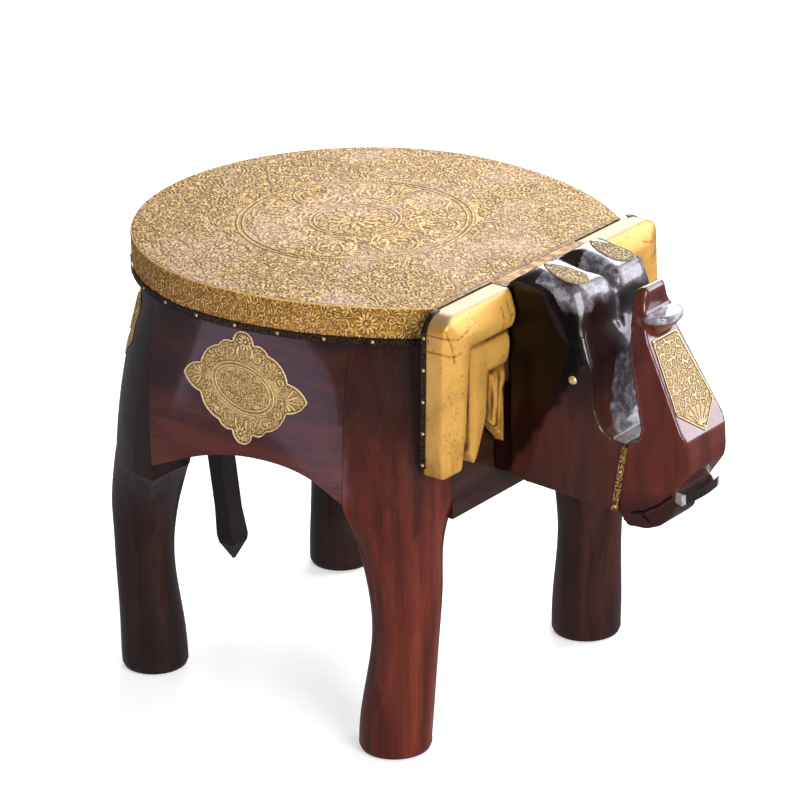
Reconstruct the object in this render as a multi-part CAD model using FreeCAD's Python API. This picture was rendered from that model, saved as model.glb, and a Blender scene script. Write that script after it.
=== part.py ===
import FreeCAD, Part
import math
import os

os.makedirs("parts", exist_ok=True)

# Carved elephant stool. Millimetres, +Z up, the head looks along -Y.
# "right" is the elephant's own right side, at -X.

# Heights are given as drops below the seat's top or rises above it, so that everything but the
# legs moves with the seat. Distances are given from the seat's outline in the same way.

# Seat board and its brass
seat_height = 380.0
seat_radius = 182.0
seat_side_share = 1.544
seat_side_radius = seat_radius * seat_side_share
seat_chord_setback = 8.0
seat_chord_distance = seat_radius - seat_chord_setback
seat_board_thickness = 31.0
sheet_thickness = 0.8
sheet_gap = 0.1
edge_strip_height = 5.5
edge_strip_thickness = 0.7
chord_strip_width = 4.6

# Small round-headed pins
pin_head_radius = 1.5
pin_head_height = 1.1
pin_shank_radius = 0.6
pin_length = 7.0
pin_clearance = 0.1
rim_pin_spacing = 38.0

# Barrel body: outline under the seat, flare towards the legs
body_setback = 13.2
body_drop = 175.0
body_bottom = seat_height - body_drop
body_flare = 32.2
flare_side_share = 0.25
flare_bow_share = 0.58
panel_wall = 24.0
board_wall = 22.0
glue_gap = 0.15

# Faces of the corner posts, and joints between the blocks of the body
front_face_setback = 2.0
front_face_distance = seat_chord_distance - front_face_setback
rear_face_setback = 33.0
rear_face_distance = seat_radius - rear_face_setback
front_post_top_depth = 65.0
front_joint_top = front_face_distance - front_post_top_depth
front_post_bottom_depth = 56.0
front_joint_bottom = front_face_distance - front_post_bottom_depth
hip_top_depth = 55.0
hip_joint_top = rear_face_distance - hip_top_depth
hip_bottom_depth = 71.0
hip_joint_bottom = rear_face_distance - hip_bottom_depth
front_post_width = 76.0
front_post_inner = seat_radius - front_post_width
rear_post_width = 90.0
rear_post_inner = seat_radius - rear_post_width
post_core_depth = 46.0
chest_panel_drop = 182.0
chest_panel_bottom = seat_height - chest_panel_drop
rear_panel_drop = 144.0
rear_panel_bottom = seat_height - rear_panel_drop

# Arch under the flank, seen from the side
arch_drop = 139.3
arch_height = seat_height - arch_drop
arch_apex = -34.0
arch_front_drop = 161.0
arch_front_height = seat_height - arch_front_drop
arch_rear_drop = 173.0
arch_rear_height = seat_height - arch_rear_drop
arch_front_shares = (0.67, 0.72)
arch_rear_shares = (0.5, 0.68)
arch_overhang_share = 0.3

# Legs; their feet stand at shares of the seat's radius from its middle
front_foot_side_share = 0.7253
front_foot_x = seat_radius * front_foot_side_share
front_foot_front_share = 0.717
front_foot_y = -seat_radius * front_foot_front_share
front_foot_radius = 29.3
front_leg_drop = 163.0
front_leg_top = seat_height - front_leg_drop
front_leg_lean = 8.5
front_leg_side_lean = 6.0
rear_foot_side_share = 0.6896
rear_foot_x = seat_radius * rear_foot_side_share
rear_foot_rear_share = 0.695
rear_foot_y = seat_radius * rear_foot_rear_share
rear_foot_radius = 27.6
rear_leg_drop = 186.0
rear_leg_top = seat_height - rear_leg_drop
rear_leg_side_lean = 4.0
rear_leg_lean = 2.4
foot_rounding = 5.0

# Ear board with three carved mouldings on each side
seat_joint_gap = 0.6
ear_board_rear = seat_chord_distance + seat_joint_gap
ear_board_thickness = 15.4
ear_board_front = ear_board_rear + ear_board_thickness
ear_side_setback = 38.5
ear_half_width_top = seat_radius - ear_side_setback
ear_side_spread = 6.0
ear_half_width_bottom = ear_half_width_top + ear_side_spread
ear_drop = 131.0
ear_bottom = seat_height - ear_drop
ear_corner_radius = 17.0
ear_bridge_drop = 80.0
ear_bridge_bottom = seat_height - ear_bridge_drop
head_width_share = 0.3022
head_half_width = seat_radius * head_width_share
head_joint_gap = 0.6
ear_inner_x = head_half_width + head_joint_gap
ear_width = ear_half_width_top - ear_inner_x
ear_edge_strip_width = 4.5
ear_edge_strip_thickness = 0.7
outer_moulding_depth = 10.0
outer_moulding_front = ear_board_front + outer_moulding_depth
middle_moulding_depth = 7.0
middle_moulding_front = ear_board_front + middle_moulding_depth
inner_moulding_depth = 4.0
inner_moulding_front = ear_board_front + inner_moulding_depth
outer_moulding_share = 0.387
outer_moulding_width = ear_width * outer_moulding_share
middle_moulding_share = 0.364
middle_moulding_width = ear_width * middle_moulding_share
outer_moulding_drop = 32.5
middle_moulding_drop = 31.0
moulding_gap = 1.6
outer_moulding_round = 2.6
inner_moulding_round = 3.4
ear_tooth_height = 34.3

# Head block
head_rear = ear_board_front + head_joint_gap
head_depth = 75.4
head_front = head_rear + head_depth
head_rear_rise = 3.0
head_rear_top = seat_height + head_rear_rise
head_rear_drop = 158.0
head_rear_bottom = seat_height - head_rear_drop
head_front_drop = 172.0
head_front_bottom = seat_height - head_front_drop
joint_bottom_reach = 14.0
head_joint_bottom_y = head_front + joint_bottom_reach
joint_top_reach = 25.5
head_joint_top_y = head_front + joint_top_reach
head_joint_drop = 113.0
head_joint_top = seat_height - head_joint_drop
dome_rise = 14.6
dome_top = seat_height + dome_rise
dome_front_drop = 7.8
dome_setback = 16.0
dome_front = head_front - dome_setback
brow_drop = 7.0
brow_height = seat_height - brow_drop
brow_setback = 10.0
brow_front = head_front - brow_setback
dome_center_share = 0.556
dome_center_x = head_half_width * dome_center_share
dome_shoulder_drop = 7.0
cheek_front_share = 0.782
cheek_front_half_width = head_half_width * cheek_front_share
neck_side_setback = 3.0
neck_half_width = head_half_width - neck_side_setback
neck_drop = 81.0
neck_top = seat_height - neck_drop
recess_half_width = 15.0
recess_depth = 24.6
recess_end_depth = 21.6
temple_rear_setback = 37.8
temple_top_rear = head_front - temple_rear_setback
temple_front_setback = 22.8
temple_top_front = head_front - temple_front_setback
temple_end_setback = 4.8
temple_end = head_front - temple_end_setback
temple_drop = 52.0
temple_bottom = seat_height - temple_drop
temple_groove_depth = 11.0
temple_groove_floor = 0.8
temple_bevel_inset = 4.8
temple_bevel_width = 3.2

# Trunk and jaw block
trunk_tip_rise = 7.0
trunk_tip_top = seat_height + trunk_tip_rise
trunk_tip_reach = 22.0
trunk_tip_y = head_front + trunk_tip_reach
trunk_front_reach = 71.4
trunk_front_y = head_front + trunk_front_reach
trunk_half_width = 27.0
trunk_root_half_width = 39.8
trunk_tip_half_width = 13.0
trunk_lip_half_width = 19.6
trunk_lip_reach = 46.2
trunk_lip_front = head_front + trunk_lip_reach
trunk_lip_drop = 14.0
trunk_lip_top = seat_height - trunk_lip_drop
trunk_lip_edge = 5.0
trunk_lip_root_drop = 18.0
chin_drop = 188.3
chin_bottom = seat_height - chin_drop
chin_half_width = 33.0
chin_front_half_width = 13.0
mouth_drop = 158.0
mouth_height = seat_height - mouth_drop
plate_thickness = 0.8
trunk_pin_inset = 3.6

# Brass trim of the head
leaf_length = 42.0
leaf_width = 22.0
leaf_thickness = 0.7
eye_setback = 16.4
eye_distance = head_front - eye_setback
eye_drop = 65.2
eye_level = seat_height - eye_drop
eye_radius = 3.6
eye_head_height = 2.2
eye_shank_radius = 1.2
eye_shank_length = 12.0
cheek_strip_width = 5.0
cheek_strip_thickness = 0.7
cheek_strip_trim = 1.6

# Tusks
tusk_half_width = 26.5
tusk_seat_depth = 11.8
tusk_back = trunk_front_y - tusk_seat_depth
tusk_depth = 10.4
tusk_end_depth = 7.0
tusk_end_slant = 2.5
tusk_height = 8.0
tusk_drop = 1.5
tusk_tip_length = 4.5

# Flank medallion and rump ornament
medallion_width = 124.0
medallion_height = 94.0
medallion_center_y = -19.5
medallion_drop = 84.0
medallion_center_z = seat_height - medallion_drop
rump_ornament_radius = 36.0
rump_ornament_angle = 52.0
rump_ornament_drop = 73.0
rump_ornament_z = seat_height - rump_ornament_drop
rump_petals = 8
rump_notch_share = 0.88
ornament_thickness = 0.9

# Tail
tail_width = 18.0
tail_root_depth = 26.3
tail_spear_width = 20.0
tail_drop = 84.0
tail_top = seat_height - tail_drop
tail_tip = 45.0
tail_lean = 23.0
tail_bevel_share = 0.45

# Dowels and screws
dowel_radius = 6.0
dowel_clearance = 0.15
leg_dowel_length = 60.0
seat_dowel_length = 36.0
hip_dowel_share = 0.7071
head_dowel_length = 100.0
jaw_dowel_length = 44.0
ear_dowel_length = 28.0
ear_dowel_radius = 4.8
tail_dowel_length = 26.0
screw_radius = 2.2
screw_head_radius = 4.2
screw_length = 42.0

overrun = 8.0

nodes = {}


def vec(x, y, z):
    return FreeCAD.Vector(x, y, z)


def box(x_range, y_range, z_range):
    low = vec(min(x_range), min(y_range), min(z_range))
    size = [abs(pair[1] - pair[0]) for pair in (x_range, y_range, z_range)]
    return Part.makeBox(size[0], size[1], size[2], low)


def cylinder(start, direction, radius, length):
    return Part.makeCylinder(radius, length, start, direction)


def closed_face(points):
    return Part.Face(Part.makePolygon(points + [points[0]]))


def side_prism(points_yz, x_from, x_to):
    """Solid with an outline in the YZ plane, pushed along X."""
    outline = [vec(x_from, y, z) for y, z in points_yz]
    return closed_face(outline).extrude(vec(x_to - x_from, 0, 0))


def front_prism(points_xz, y_from, y_to):
    """Solid with an outline in the XZ plane, pushed along Y."""
    outline = [vec(x, y_from, z) for x, z in points_xz]
    return closed_face(outline).extrude(vec(0, y_to - y_from, 0))


def arc_edge(a, b, c):
    return Part.Arc(a, b, c).toShape()


def spline_edge(points):
    curve = Part.BSplineCurve()
    curve.interpolate(points)
    return curve.toShape()


def other_side(shape):
    return shape.mirror(vec(0, 0, 0), vec(1, 0, 0))


def half_space(origin, normal, size):
    """A large block that fills the side of the plane that the normal points to."""
    block = Part.makeBox(size, size, size, vec(-size / 2, -size / 2, 0))
    turn = FreeCAD.Rotation(vec(0, 0, 1), normal)
    block.Placement = FreeCAD.Placement(origin, turn)
    return block


def cut_all(shape, tools):
    return shape.cut(Part.makeCompound(tools)) if tools else shape


def add(name, shape):
    nodes[name] = shape


# Seat outline: a half circle behind, two wider arcs in front, a straight chord under the ears
def seat_half_chord(inset):
    side = seat_side_radius - inset
    shift = seat_side_radius - seat_radius
    chord = seat_chord_distance - inset
    return math.sqrt(side ** 2 - chord ** 2) - shift


def seat_outline(inset, z):
    rear = seat_radius - inset
    side = seat_side_radius - inset
    shift = seat_side_radius - seat_radius
    chord = seat_chord_distance - inset
    half_chord = seat_half_chord(inset)
    half_turn = math.asin(chord / side) / 2
    middle_x = side * math.cos(half_turn) - shift
    middle_y = -side * math.sin(half_turn)
    edges = [
        arc_edge(vec(rear, 0, z), vec(0, rear, z), vec(-rear, 0, z)),
        arc_edge(vec(-rear, 0, z), vec(-middle_x, middle_y, z), vec(-half_chord, -chord, z)),
        Part.makeLine(vec(-half_chord, -chord, z), vec(half_chord, -chord, z)),
        arc_edge(vec(half_chord, -chord, z), vec(middle_x, middle_y, z), vec(rear, 0, z)),
    ]
    return Part.Wire(edges)


def seat_slab(inset, z_from, z_to):
    return Part.Face(seat_outline(inset, z_from)).extrude(vec(0, 0, z_to - z_from))


def rim_place(run, outset):
    """Point and outward direction on the rim, run millimetres from the rear middle."""
    quarter = seat_radius * math.pi / 2
    if abs(run) <= quarter:
        turn = run / seat_radius
        out = vec(math.sin(turn), math.cos(turn), 0)
        return out * (seat_radius + outset), out
    hand = 1 if run > 0 else -1
    turn = (abs(run) - quarter) / seat_side_radius
    out = vec(hand * math.cos(turn), -math.sin(turn), 0)
    shift = vec(-hand * (seat_side_radius - seat_radius), 0, 0)
    return shift + out * (seat_side_radius + outset), out


# Round-headed nails: a domed head and a shank, turned round one axis
def round_nail(place, out, head_radius, head_height, shank_radius, length):
    dome = (head_radius ** 2 + head_height ** 2) / (head_height * 2)
    half_turn = math.asin(head_radius / dome) / 2
    rim = vec(head_radius, 0, 0)
    top = vec(0, 0, head_height)
    shoulder = vec(dome * math.sin(half_turn), 0, head_height - dome + dome * math.cos(half_turn))
    neck = vec(shank_radius, 0, 0)
    end = vec(shank_radius, 0, -length)
    bottom = vec(0, 0, -length)
    outline = [
        arc_edge(top, shoulder, rim),
        Part.makeLine(rim, neck),
        Part.makeLine(neck, end),
        Part.makeLine(end, bottom),
        Part.makeLine(bottom, top),
    ]
    nail = Part.Face(Part.Wire(outline)).revolve(vec(0, 0, 0), vec(0, 0, 1), 360)
    nail.Placement = FreeCAD.Placement(place, FreeCAD.Rotation(vec(0, 0, 1), out))
    return nail


def pin(place, out):
    return round_nail(place, out, pin_head_radius, pin_head_height, pin_shank_radius, pin_length)


def pin_bore(place, out):
    deep = pin_length + pin_clearance
    return cylinder(place - out * deep, out, pin_shank_radius + pin_clearance, deep + overrun)


# Body surface: radius at an angle from the side axis, positive towards the rear
def body_radius(angle, z, inset):
    rear = seat_radius - body_setback
    side = seat_side_radius - body_setback
    shift = seat_side_radius - seat_radius
    plan = rear
    if angle < 0:
        plan = math.sqrt(side ** 2 - (shift * math.sin(angle)) ** 2) - shift * math.cos(angle)
    top = seat_height - seat_board_thickness
    drop = (top - z) / (top - body_bottom)
    flare = body_flare * drop * (1 + flare_bow_share * (1 - drop))
    spread = flare_side_share + (1 - flare_side_share) * math.sin(2 * angle) ** 2
    return plan + flare * spread - inset


def body_point(angle, z, inset):
    radius = body_radius(angle, z, inset)
    return vec(-radius * math.cos(angle), radius * math.sin(angle), z)


def angle_at_y(y, z, inset):
    """Angle at which the body surface has this y."""
    angle = 0.0
    for _ in range(40):
        angle = math.asin(max(-1, min(1, y / body_radius(angle, z, inset))))
    return angle


def angle_at_x(x, z, inset):
    """Angle behind the flank at which the body surface is x off the middle plane."""
    angle = math.pi / 4
    for _ in range(60):
        aim = math.acos(min(1, x / body_radius(angle, z, inset)))
        angle = (angle + aim) / 2
    return angle


def joint_y(z, top_value, bottom_value):
    top = seat_height - seat_board_thickness
    share = (top - z) / (top - body_bottom)
    return top_value + (bottom_value - top_value) * share


def body_top():
    return seat_height - seat_board_thickness


def corner_section(corners, middles):
    """Closed wire of arcs through four corners and the middles of the four sides."""
    edges = []
    for index in range(4):
        edges.append(arc_edge(corners[index], middles[index], corners[(index + 1) % 4]))
    return Part.Wire(edges)


def slight_middle(a, b, out):
    """Middle of a nearly straight side, with a bow too small to see."""
    return (a + b) * 0.5 + out * (glue_gap / 5)


def round_points(center, half, square_share, z):
    """Corners and side middles of a leg section between a circle and a soft square."""
    reach = half * (math.sqrt(0.5) + (1 - math.sqrt(0.5)) * square_share)
    x, y = center
    corners = [
        vec(x - reach, y - reach, z),
        vec(x + reach, y - reach, z),
        vec(x + reach, y + reach, z),
        vec(x - reach, y + reach, z),
    ]
    middles = [vec(x, y - half, z), vec(x + half, y, z), vec(x, y + half, z), vec(x - half, y, z)]
    return corners, middles


def blended_section(plain, shaped, share):
    """Section that lies between two others, each given as corners and side middles."""
    corners = [a + (b - a) * share for a, b in zip(plain[0], shaped[0])]
    middles = [a + (b - a) * share for a, b in zip(plain[1], shaped[1])]
    return corner_section(corners, middles)


def front_post_points(z):
    """Front corner block of the body: flush outside, flat against its neighbours."""
    rear_y = -joint_y(z, front_joint_top, front_joint_bottom) - glue_gap
    front_y = -front_face_distance
    outer_rear = body_point(angle_at_y(rear_y, z, 0), z, 0)
    outer_front = body_point(angle_at_y(front_y, z, 0), z, 0)
    outer_middle = body_point(angle_at_y((rear_y + front_y) / 2, z, 0), z, 0)
    inner_front = vec(-front_post_inner, front_y, z)
    inner_rear = vec(-front_post_inner, rear_y, z)
    corners = [outer_front, inner_front, inner_rear, outer_rear]
    middles = [
        slight_middle(outer_front, inner_front, vec(0, -1, 0)),
        slight_middle(inner_front, inner_rear, vec(1, 0, 0)),
        slight_middle(inner_rear, outer_rear, vec(0, -1, 0)),
        outer_middle,
    ]
    return corners, middles


def hip_points(z):
    """Rear corner block of the body."""
    front_y = joint_y(z, hip_joint_top, hip_joint_bottom) + glue_gap
    outer_front = body_point(angle_at_y(front_y, z, 0), z, 0)
    rear_angle = angle_at_x(rear_post_inner + glue_gap, z, 0)
    outer_rear = body_point(rear_angle, z, 0)
    middle_angle = (angle_at_y(front_y, z, 0) + rear_angle) / 2
    inner_rear = vec(-rear_post_inner - glue_gap, rear_face_distance - post_core_depth, z)
    inner_front = vec(outer_front.x + post_core_depth, front_y, z)
    corners = [outer_front, inner_front, inner_rear, outer_rear]
    middles = [
        slight_middle(outer_front, inner_front, vec(0, 1, 0)),
        slight_middle(inner_front, inner_rear, vec(1, -1, 0)),
        slight_middle(inner_rear, outer_rear, vec(-1, 0, 0)),
        body_point(middle_angle, z, 0),
    ]
    return corners, middles


# Rows of a leg: share of its height, share of its lean, half width as a share of the foot's
# radius, how square the section is, and how far it has gone over to the body block's section
front_leg_shares = [
    (0.075, 0.05, 1.0, 0.0, 0.0),
    (0.28, 0.55, 0.95, 0.0, 0.0),
    (0.48, 1.0, 0.91, 0.03, 0.0),
    (0.66, 1.0, 1.0, 0.05, 0.0),
    (0.80, 0.8, 1.03, 0.15, 0.12),
    (0.91, 0.8, 1.06, 0.2, 0.52),
    (1.0, 0.8, 1.06, 0.2, 1.0),
]
rear_leg_shares = [
    (0.075, 0.05, 1.0, 0.0, 0.0),
    (0.30, 0.5, 0.93, 0.0, 0.0),
    (0.56, 1.0, 0.89, 0.0, 0.0),
    (0.67, 1.0, 0.92, 0.05, 0.05),
    (0.77, 1.0, 0.98, 0.1, 0.15),
    (0.85, 1.0, 1.02, 0.15, 0.33),
    (0.93, 1.0, 1.05, 0.2, 0.61),
    (1.0, 1.0, 1.05, 0.2, 1.0),
]
# How far the foot is drawn in, and how high above the floor, as shares of its rounding
foot_shares = [(1.0, 0.0), (0.3, 0.3), (0.0, 1.0)]
body_block_rows = 4


def leg_solid(foot_center, radius, lean, top, shares, block_points):
    """One leg from its rounded foot to the section of the body block above it."""
    lower = []
    for pull, rise in foot_shares:
        points = round_points(foot_center, radius - foot_rounding * pull, 0, foot_rounding * rise)
        lower.append(corner_section(points[0], points[1]))
    wires = [lower[-1]]
    for height, lean_part, width, square, blend in shares:
        z = top * height
        center = (foot_center[0] + lean[0] * lean_part, foot_center[1] + lean[1] * lean_part)
        plain = round_points(center, radius * width, square, z)
        wires.append(blended_section(plain, block_points(z), blend))
    return Part.makeLoft(lower, True, True).fuse(Part.makeLoft(wires, True, False))


def body_block(low, block_points):
    """Corner block of the body from a height up to the seat board."""
    step = (body_top() - glue_gap - low) / (body_block_rows - 1)
    wires = []
    for index in range(body_block_rows):
        corners, middles = block_points(low + step * index)
        wires.append(corner_section(corners, middles))
    return Part.makeLoft(wires, True, False)


def front_leg():
    foot = (-front_foot_x, front_foot_y)
    lean = (front_leg_side_lean, -front_leg_lean)
    leg = leg_solid(foot, front_foot_radius, lean, front_leg_top, front_leg_shares, front_post_points)
    return leg.fuse(body_block(front_leg_top, front_post_points))


def rear_leg():
    foot = (-rear_foot_x, rear_foot_y)
    lean = (-rear_leg_side_lean, rear_leg_lean)
    return leg_solid(foot, rear_foot_radius, lean, rear_leg_top, rear_leg_shares, hip_points)


def hip_block():
    return body_block(rear_leg_top + glue_gap, hip_points)


# Points across and rows up a curved sheet or panel of the body wall
skin_columns = 9
skin_rows = 5


def skin_section(z, outer_inset, inner_inset, y_front, y_rear):
    """Curved strip between two depths of the body wall, from one y to another."""
    outer_angles = (angle_at_y(y_front, z, outer_inset), angle_at_y(y_rear, z, outer_inset))
    inner_angles = (angle_at_y(y_front, z, inner_inset), angle_at_y(y_rear, z, inner_inset))
    outer = []
    inner = []
    for index in range(skin_columns):
        share = index / (skin_columns - 1)
        outer_angle = outer_angles[0] + (outer_angles[1] - outer_angles[0]) * share
        inner_angle = inner_angles[1] + (inner_angles[0] - inner_angles[1]) * share
        outer.append(body_point(outer_angle, z, outer_inset))
        inner.append(body_point(inner_angle, z, inner_inset))
    edges = [
        spline_edge(outer),
        Part.makeLine(outer[-1], inner[0]),
        spline_edge(inner),
        Part.makeLine(inner[-1], outer[0]),
    ]
    return Part.Wire(edges)


def skin_loft(outer_inset, inner_inset, z_low, z_high, front_y_at, rear_y_at):
    wires = []
    for index in range(skin_rows):
        z = z_low + (z_high - z_low) * index / (skin_rows - 1)
        wires.append(skin_section(z, outer_inset, inner_inset, front_y_at(z), rear_y_at(z)))
    return Part.makeLoft(wires, True, False)


def flank_front_y(z):
    return -joint_y(z, front_joint_top, front_joint_bottom) + glue_gap


def flank_rear_y(z):
    return joint_y(z, hip_joint_top, hip_joint_bottom) - glue_gap


def arch_shoulder(end, apex, shares):
    """Point between an end of the arch and its apex: how far back from the apex, how far up."""
    back, rise = shares
    return vec(0, apex.y + (end.y - apex.y) * back, end.z + (apex.z - end.z) * rise)


def flank_arch():
    """Everything under the flank's arched lower edge."""
    front_end = vec(0, -front_joint_bottom, arch_front_height)
    rear_end = vec(0, hip_joint_bottom, arch_rear_height)
    apex = vec(0, arch_apex, arch_height)
    shoulder_front = arch_shoulder(front_end, apex, arch_front_shares)
    shoulder_rear = arch_shoulder(rear_end, apex, arch_rear_shares)
    front_out = front_end + (front_end - shoulder_front) * arch_overhang_share
    rear_out = rear_end + (rear_end - shoulder_rear) * arch_overhang_share
    edge = spline_edge([front_out, front_end, shoulder_front, apex, shoulder_rear, rear_end, rear_out])
    low_front = vec(0, front_out.y, body_bottom - overrun)
    low_rear = vec(0, rear_out.y, body_bottom - overrun)
    wire = Part.Wire([
        edge,
        Part.makeLine(rear_out, low_rear),
        Part.makeLine(low_rear, low_front),
        Part.makeLine(low_front, front_out),
    ])
    reach = seat_radius + body_flare
    face = Part.Face(wire)
    face.translate(vec(-reach, 0, 0))
    return face.extrude(vec(reach, 0, 0))


def flank_panel():
    panel = skin_loft(0, panel_wall, body_bottom, body_top() - glue_gap, flank_front_y, flank_rear_y)
    return panel.cut(flank_arch())


# A quarter of the medallion's outline, from its pointed end to the round lobe on top: notches and,
# between them, the middles of the scallops, as shares of the half width and the half height
medallion_shares = [
    (1.0, 0.0), (0.86, 0.20), (0.70, 0.27),
    (0.60, 0.51), (0.39, 0.67),
    (0.30, 0.78), (0.17, 0.79),
]


def scallops(points):
    """Arcs through points that are an end, a middle, an end and so on."""
    return [arc_edge(*points[index:index + 3]) for index in range(0, len(points) - 2, 2)]


def medallion_wire(x):
    half_w = medallion_width / 2
    half_h = medallion_height / 2

    def place(share, side, up):
        y = medallion_center_y + half_w * share[0] * side
        return vec(x, y, medallion_center_z + half_h * share[1] * up)

    edges = []
    for side, up in ((1, 1), (-1, -1)):
        rising = [place(share, side, up) for share in medallion_shares]
        falling = [place(share, -side, up) for share in reversed(medallion_shares)]
        lobe_top = place((0, 1), side, up)
        edges += scallops(rising + [lobe_top] + falling)
    return Part.Wire(edges)


def ornament_on_body(prism, z_low, z_high, y_front, y_rear):
    """Thin plate that lies on the body wall, cut to the prism's outline."""
    def front_at(z):
        return y_front

    def rear_at(z):
        return y_rear

    skin = skin_loft(-sheet_gap - ornament_thickness, -sheet_gap, z_low, z_high, front_at, rear_at)
    return skin.common(prism)


def flank_medallion():
    reach = seat_radius + body_flare
    prism = Part.Face(medallion_wire(-reach)).extrude(vec(reach / 2, 0, 0))
    half_w = medallion_width / 2 + overrun
    half_h = medallion_height / 2 + overrun / 2
    return ornament_on_body(
        prism,
        medallion_center_z - half_h,
        min(medallion_center_z + half_h, body_top() - glue_gap),
        medallion_center_y - half_w,
        medallion_center_y + half_w,
    )


def rump_ornament():
    """Scalloped plate on the rump, with rounded petals all round."""
    turn = math.radians(rump_ornament_angle)
    out = vec(-math.cos(turn), math.sin(turn), 0)
    across = vec(math.sin(turn), math.cos(turn), 0)
    up = vec(0, 0, 1)
    start = out * (seat_radius / 2) + up * rump_ornament_z
    points = []
    for index in range(rump_petals * 2 + 1):
        angle = math.pi * index / rump_petals
        reach = rump_ornament_radius * (1 if index % 2 else rump_notch_share)
        points.append(start + across * (reach * math.cos(angle)) + up * (reach * math.sin(angle)))
    prism = Part.Face(Part.Wire(scallops(points))).extrude(out * seat_radius)
    low = rump_ornament_z - rump_ornament_radius - overrun / 4
    high = rump_ornament_z + rump_ornament_radius + overrun / 4
    half = math.asin((rump_ornament_radius + overrun) / seat_radius)
    wires = []
    for index in range(skin_rows):
        z = low + (high - low) * index / (skin_rows - 1)
        wires.append(rump_section(z, turn, half))
    return Part.makeLoft(wires, True, False).common(prism)


def rump_section(z, middle, half):
    outer = []
    inner = []
    for index in range(skin_columns):
        angle = middle - half + 2 * half * index / (skin_columns - 1)
        outer.append(body_point(angle, z, -sheet_gap - ornament_thickness))
        inner.insert(0, body_point(angle, z, -sheet_gap))
    return Part.Wire([
        spline_edge(outer),
        Part.makeLine(outer[-1], inner[0]),
        spline_edge(inner),
        Part.makeLine(inner[-1], outer[0]),
    ])


# Ear: outline and the three nested mouldings, seen from the front, on the right side
def ear_outer_x(z):
    share = (seat_height - z) / (seat_height - ear_bottom)
    return ear_half_width_top + (ear_half_width_bottom - ear_half_width_top) * share


# Teeth of the ear's lower edge, from outside to inside: how far in, as a share of the two outer
# mouldings' width, and how far up, as a share of the tooth height
ear_teeth_shares = [(0.03, 0.03), (0.32, 0.13), (0.415, 0.84), (0.69, 0.0), (0.99, 1.0)]


def ear_points():
    """Corner points of the whole ear, from the top inner end round to the lower inner end."""
    low = ear_bottom
    width = outer_moulding_width + middle_moulding_width
    side = low + ear_tooth_height / 2
    teeth = []
    for along, rise in ear_teeth_shares:
        teeth.append((-ear_outer_x(low) + width * along, low + ear_tooth_height * rise))
    return [
        (-ear_inner_x, seat_height),
        (-ear_outer_x(seat_height), seat_height),
        (-ear_outer_x(side), side),
    ] + teeth + [(-ear_inner_x, low)]


def groove_corner(order, gap):
    """Corner of the groove inside the outer or the middle moulding, as (x, z)."""
    width = outer_moulding_width + middle_moulding_width * order
    drop = outer_moulding_drop + middle_moulding_drop * order
    z = seat_height - drop
    return -ear_outer_x(z) + width + gap, z - gap


def moulding_points(order):
    """Corner points of one L-shaped moulding: 0 outer, 1 middle, 2 inner."""
    whole = ear_points()
    gap = moulding_gap / 2
    if order == 0:
        corner = groove_corner(0, -gap)
        return whole[:6] + [corner, (-ear_inner_x, corner[1])]
    if order == 1:
        upper = groove_corner(0, gap)
        lower = groove_corner(1, -gap)
        return [
            (-ear_inner_x, upper[1]),
            upper,
            (whole[5][0] + gap * 2, whole[5][1] - gap),
            whole[6],
            (whole[7][0] - gap, whole[7][1]),
            lower,
            (-ear_inner_x, lower[1]),
        ]
    corner = groove_corner(1, gap)
    return [(-ear_inner_x, corner[1]), corner, (whole[7][0] + gap, whole[7][1]), whole[8]]


def inset_points(points, inset):
    """The outline drawn in evenly by the inset."""
    if inset == 0:
        return points
    face = closed_face([vec(x, z, 0) for x, z in points])
    wire = face.makeOffset2D(-inset, 2)
    ordered = [vertex.Point for vertex in wire.OuterWire.OrderedVertexes]
    return [(p.x, p.y) for p in ordered]


def front_rounded(points, y_from, y_to, radius):
    """Prism between two depths with its front edges rounded."""
    prism = front_prism(points, y_from, y_to)
    front = [edge for edge in prism.Edges if abs(edge.CenterOfMass.y - y_to) < sheet_gap]
    return prism.makeFillet(radius, front)


def ear_plank(inset, y_from, y_to):
    """Flat plank with the ear's outline and its round top corner."""
    plank = front_prism(inset_points(ear_points(), inset), y_from, y_to)
    corner = [
        edge for edge in plank.Edges
        if abs(edge.tangentAt(edge.FirstParameter).y) > 0.9
        and edge.CenterOfMass.x < -ear_half_width_top + overrun
        and edge.CenterOfMass.z > seat_height - overrun
    ]
    return plank.makeFillet(ear_corner_radius - inset, corner)


def ear_solid(inset, rear):
    """Plank and mouldings of the right ear, drawn in by the inset on all sides but the rear."""
    plank = ear_plank(inset, rear, -ear_board_front + inset)
    fronts = (outer_moulding_front, middle_moulding_front, inner_moulding_front)
    rounds = (outer_moulding_round, inner_moulding_round, inner_moulding_round)
    start = -ear_board_rear - (ear_board_front - ear_board_rear) / 3
    mouldings = []
    for order in range(3):
        outline = inset_points(moulding_points(order), inset)
        mouldings.append(front_rounded(outline, start, -fronts[order] + inset, rounds[order] - inset))
    deep = outer_moulding_front + overrun
    trim = ear_plank(inset, rear, -deep)
    return plank.fuse([moulding.common(trim) for moulding in mouldings])


def ear_link(clearance):
    """Flat stretch of the board that runs from one ear to the other."""
    reach = ear_inner_x + sheet_thickness + overrun
    skin = sheet_thickness + sheet_gap - clearance
    return box(
        (-reach, reach),
        (-ear_board_rear, -ear_board_front + skin),
        (ear_bridge_bottom - clearance, seat_height - skin),
    )


def ear_sheet():
    """Thin brass skin over the front and the edges of the ear."""
    skin = ear_solid(0, -ear_board_rear).cut(ear_solid(sheet_thickness, -ear_board_rear + overrun))
    return skin.cut(ear_link(sheet_gap))


def ear_board():
    wood = ear_solid(sheet_thickness + sheet_gap, -ear_board_rear)
    return wood.fuse([other_side(wood), ear_link(0)])


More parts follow.
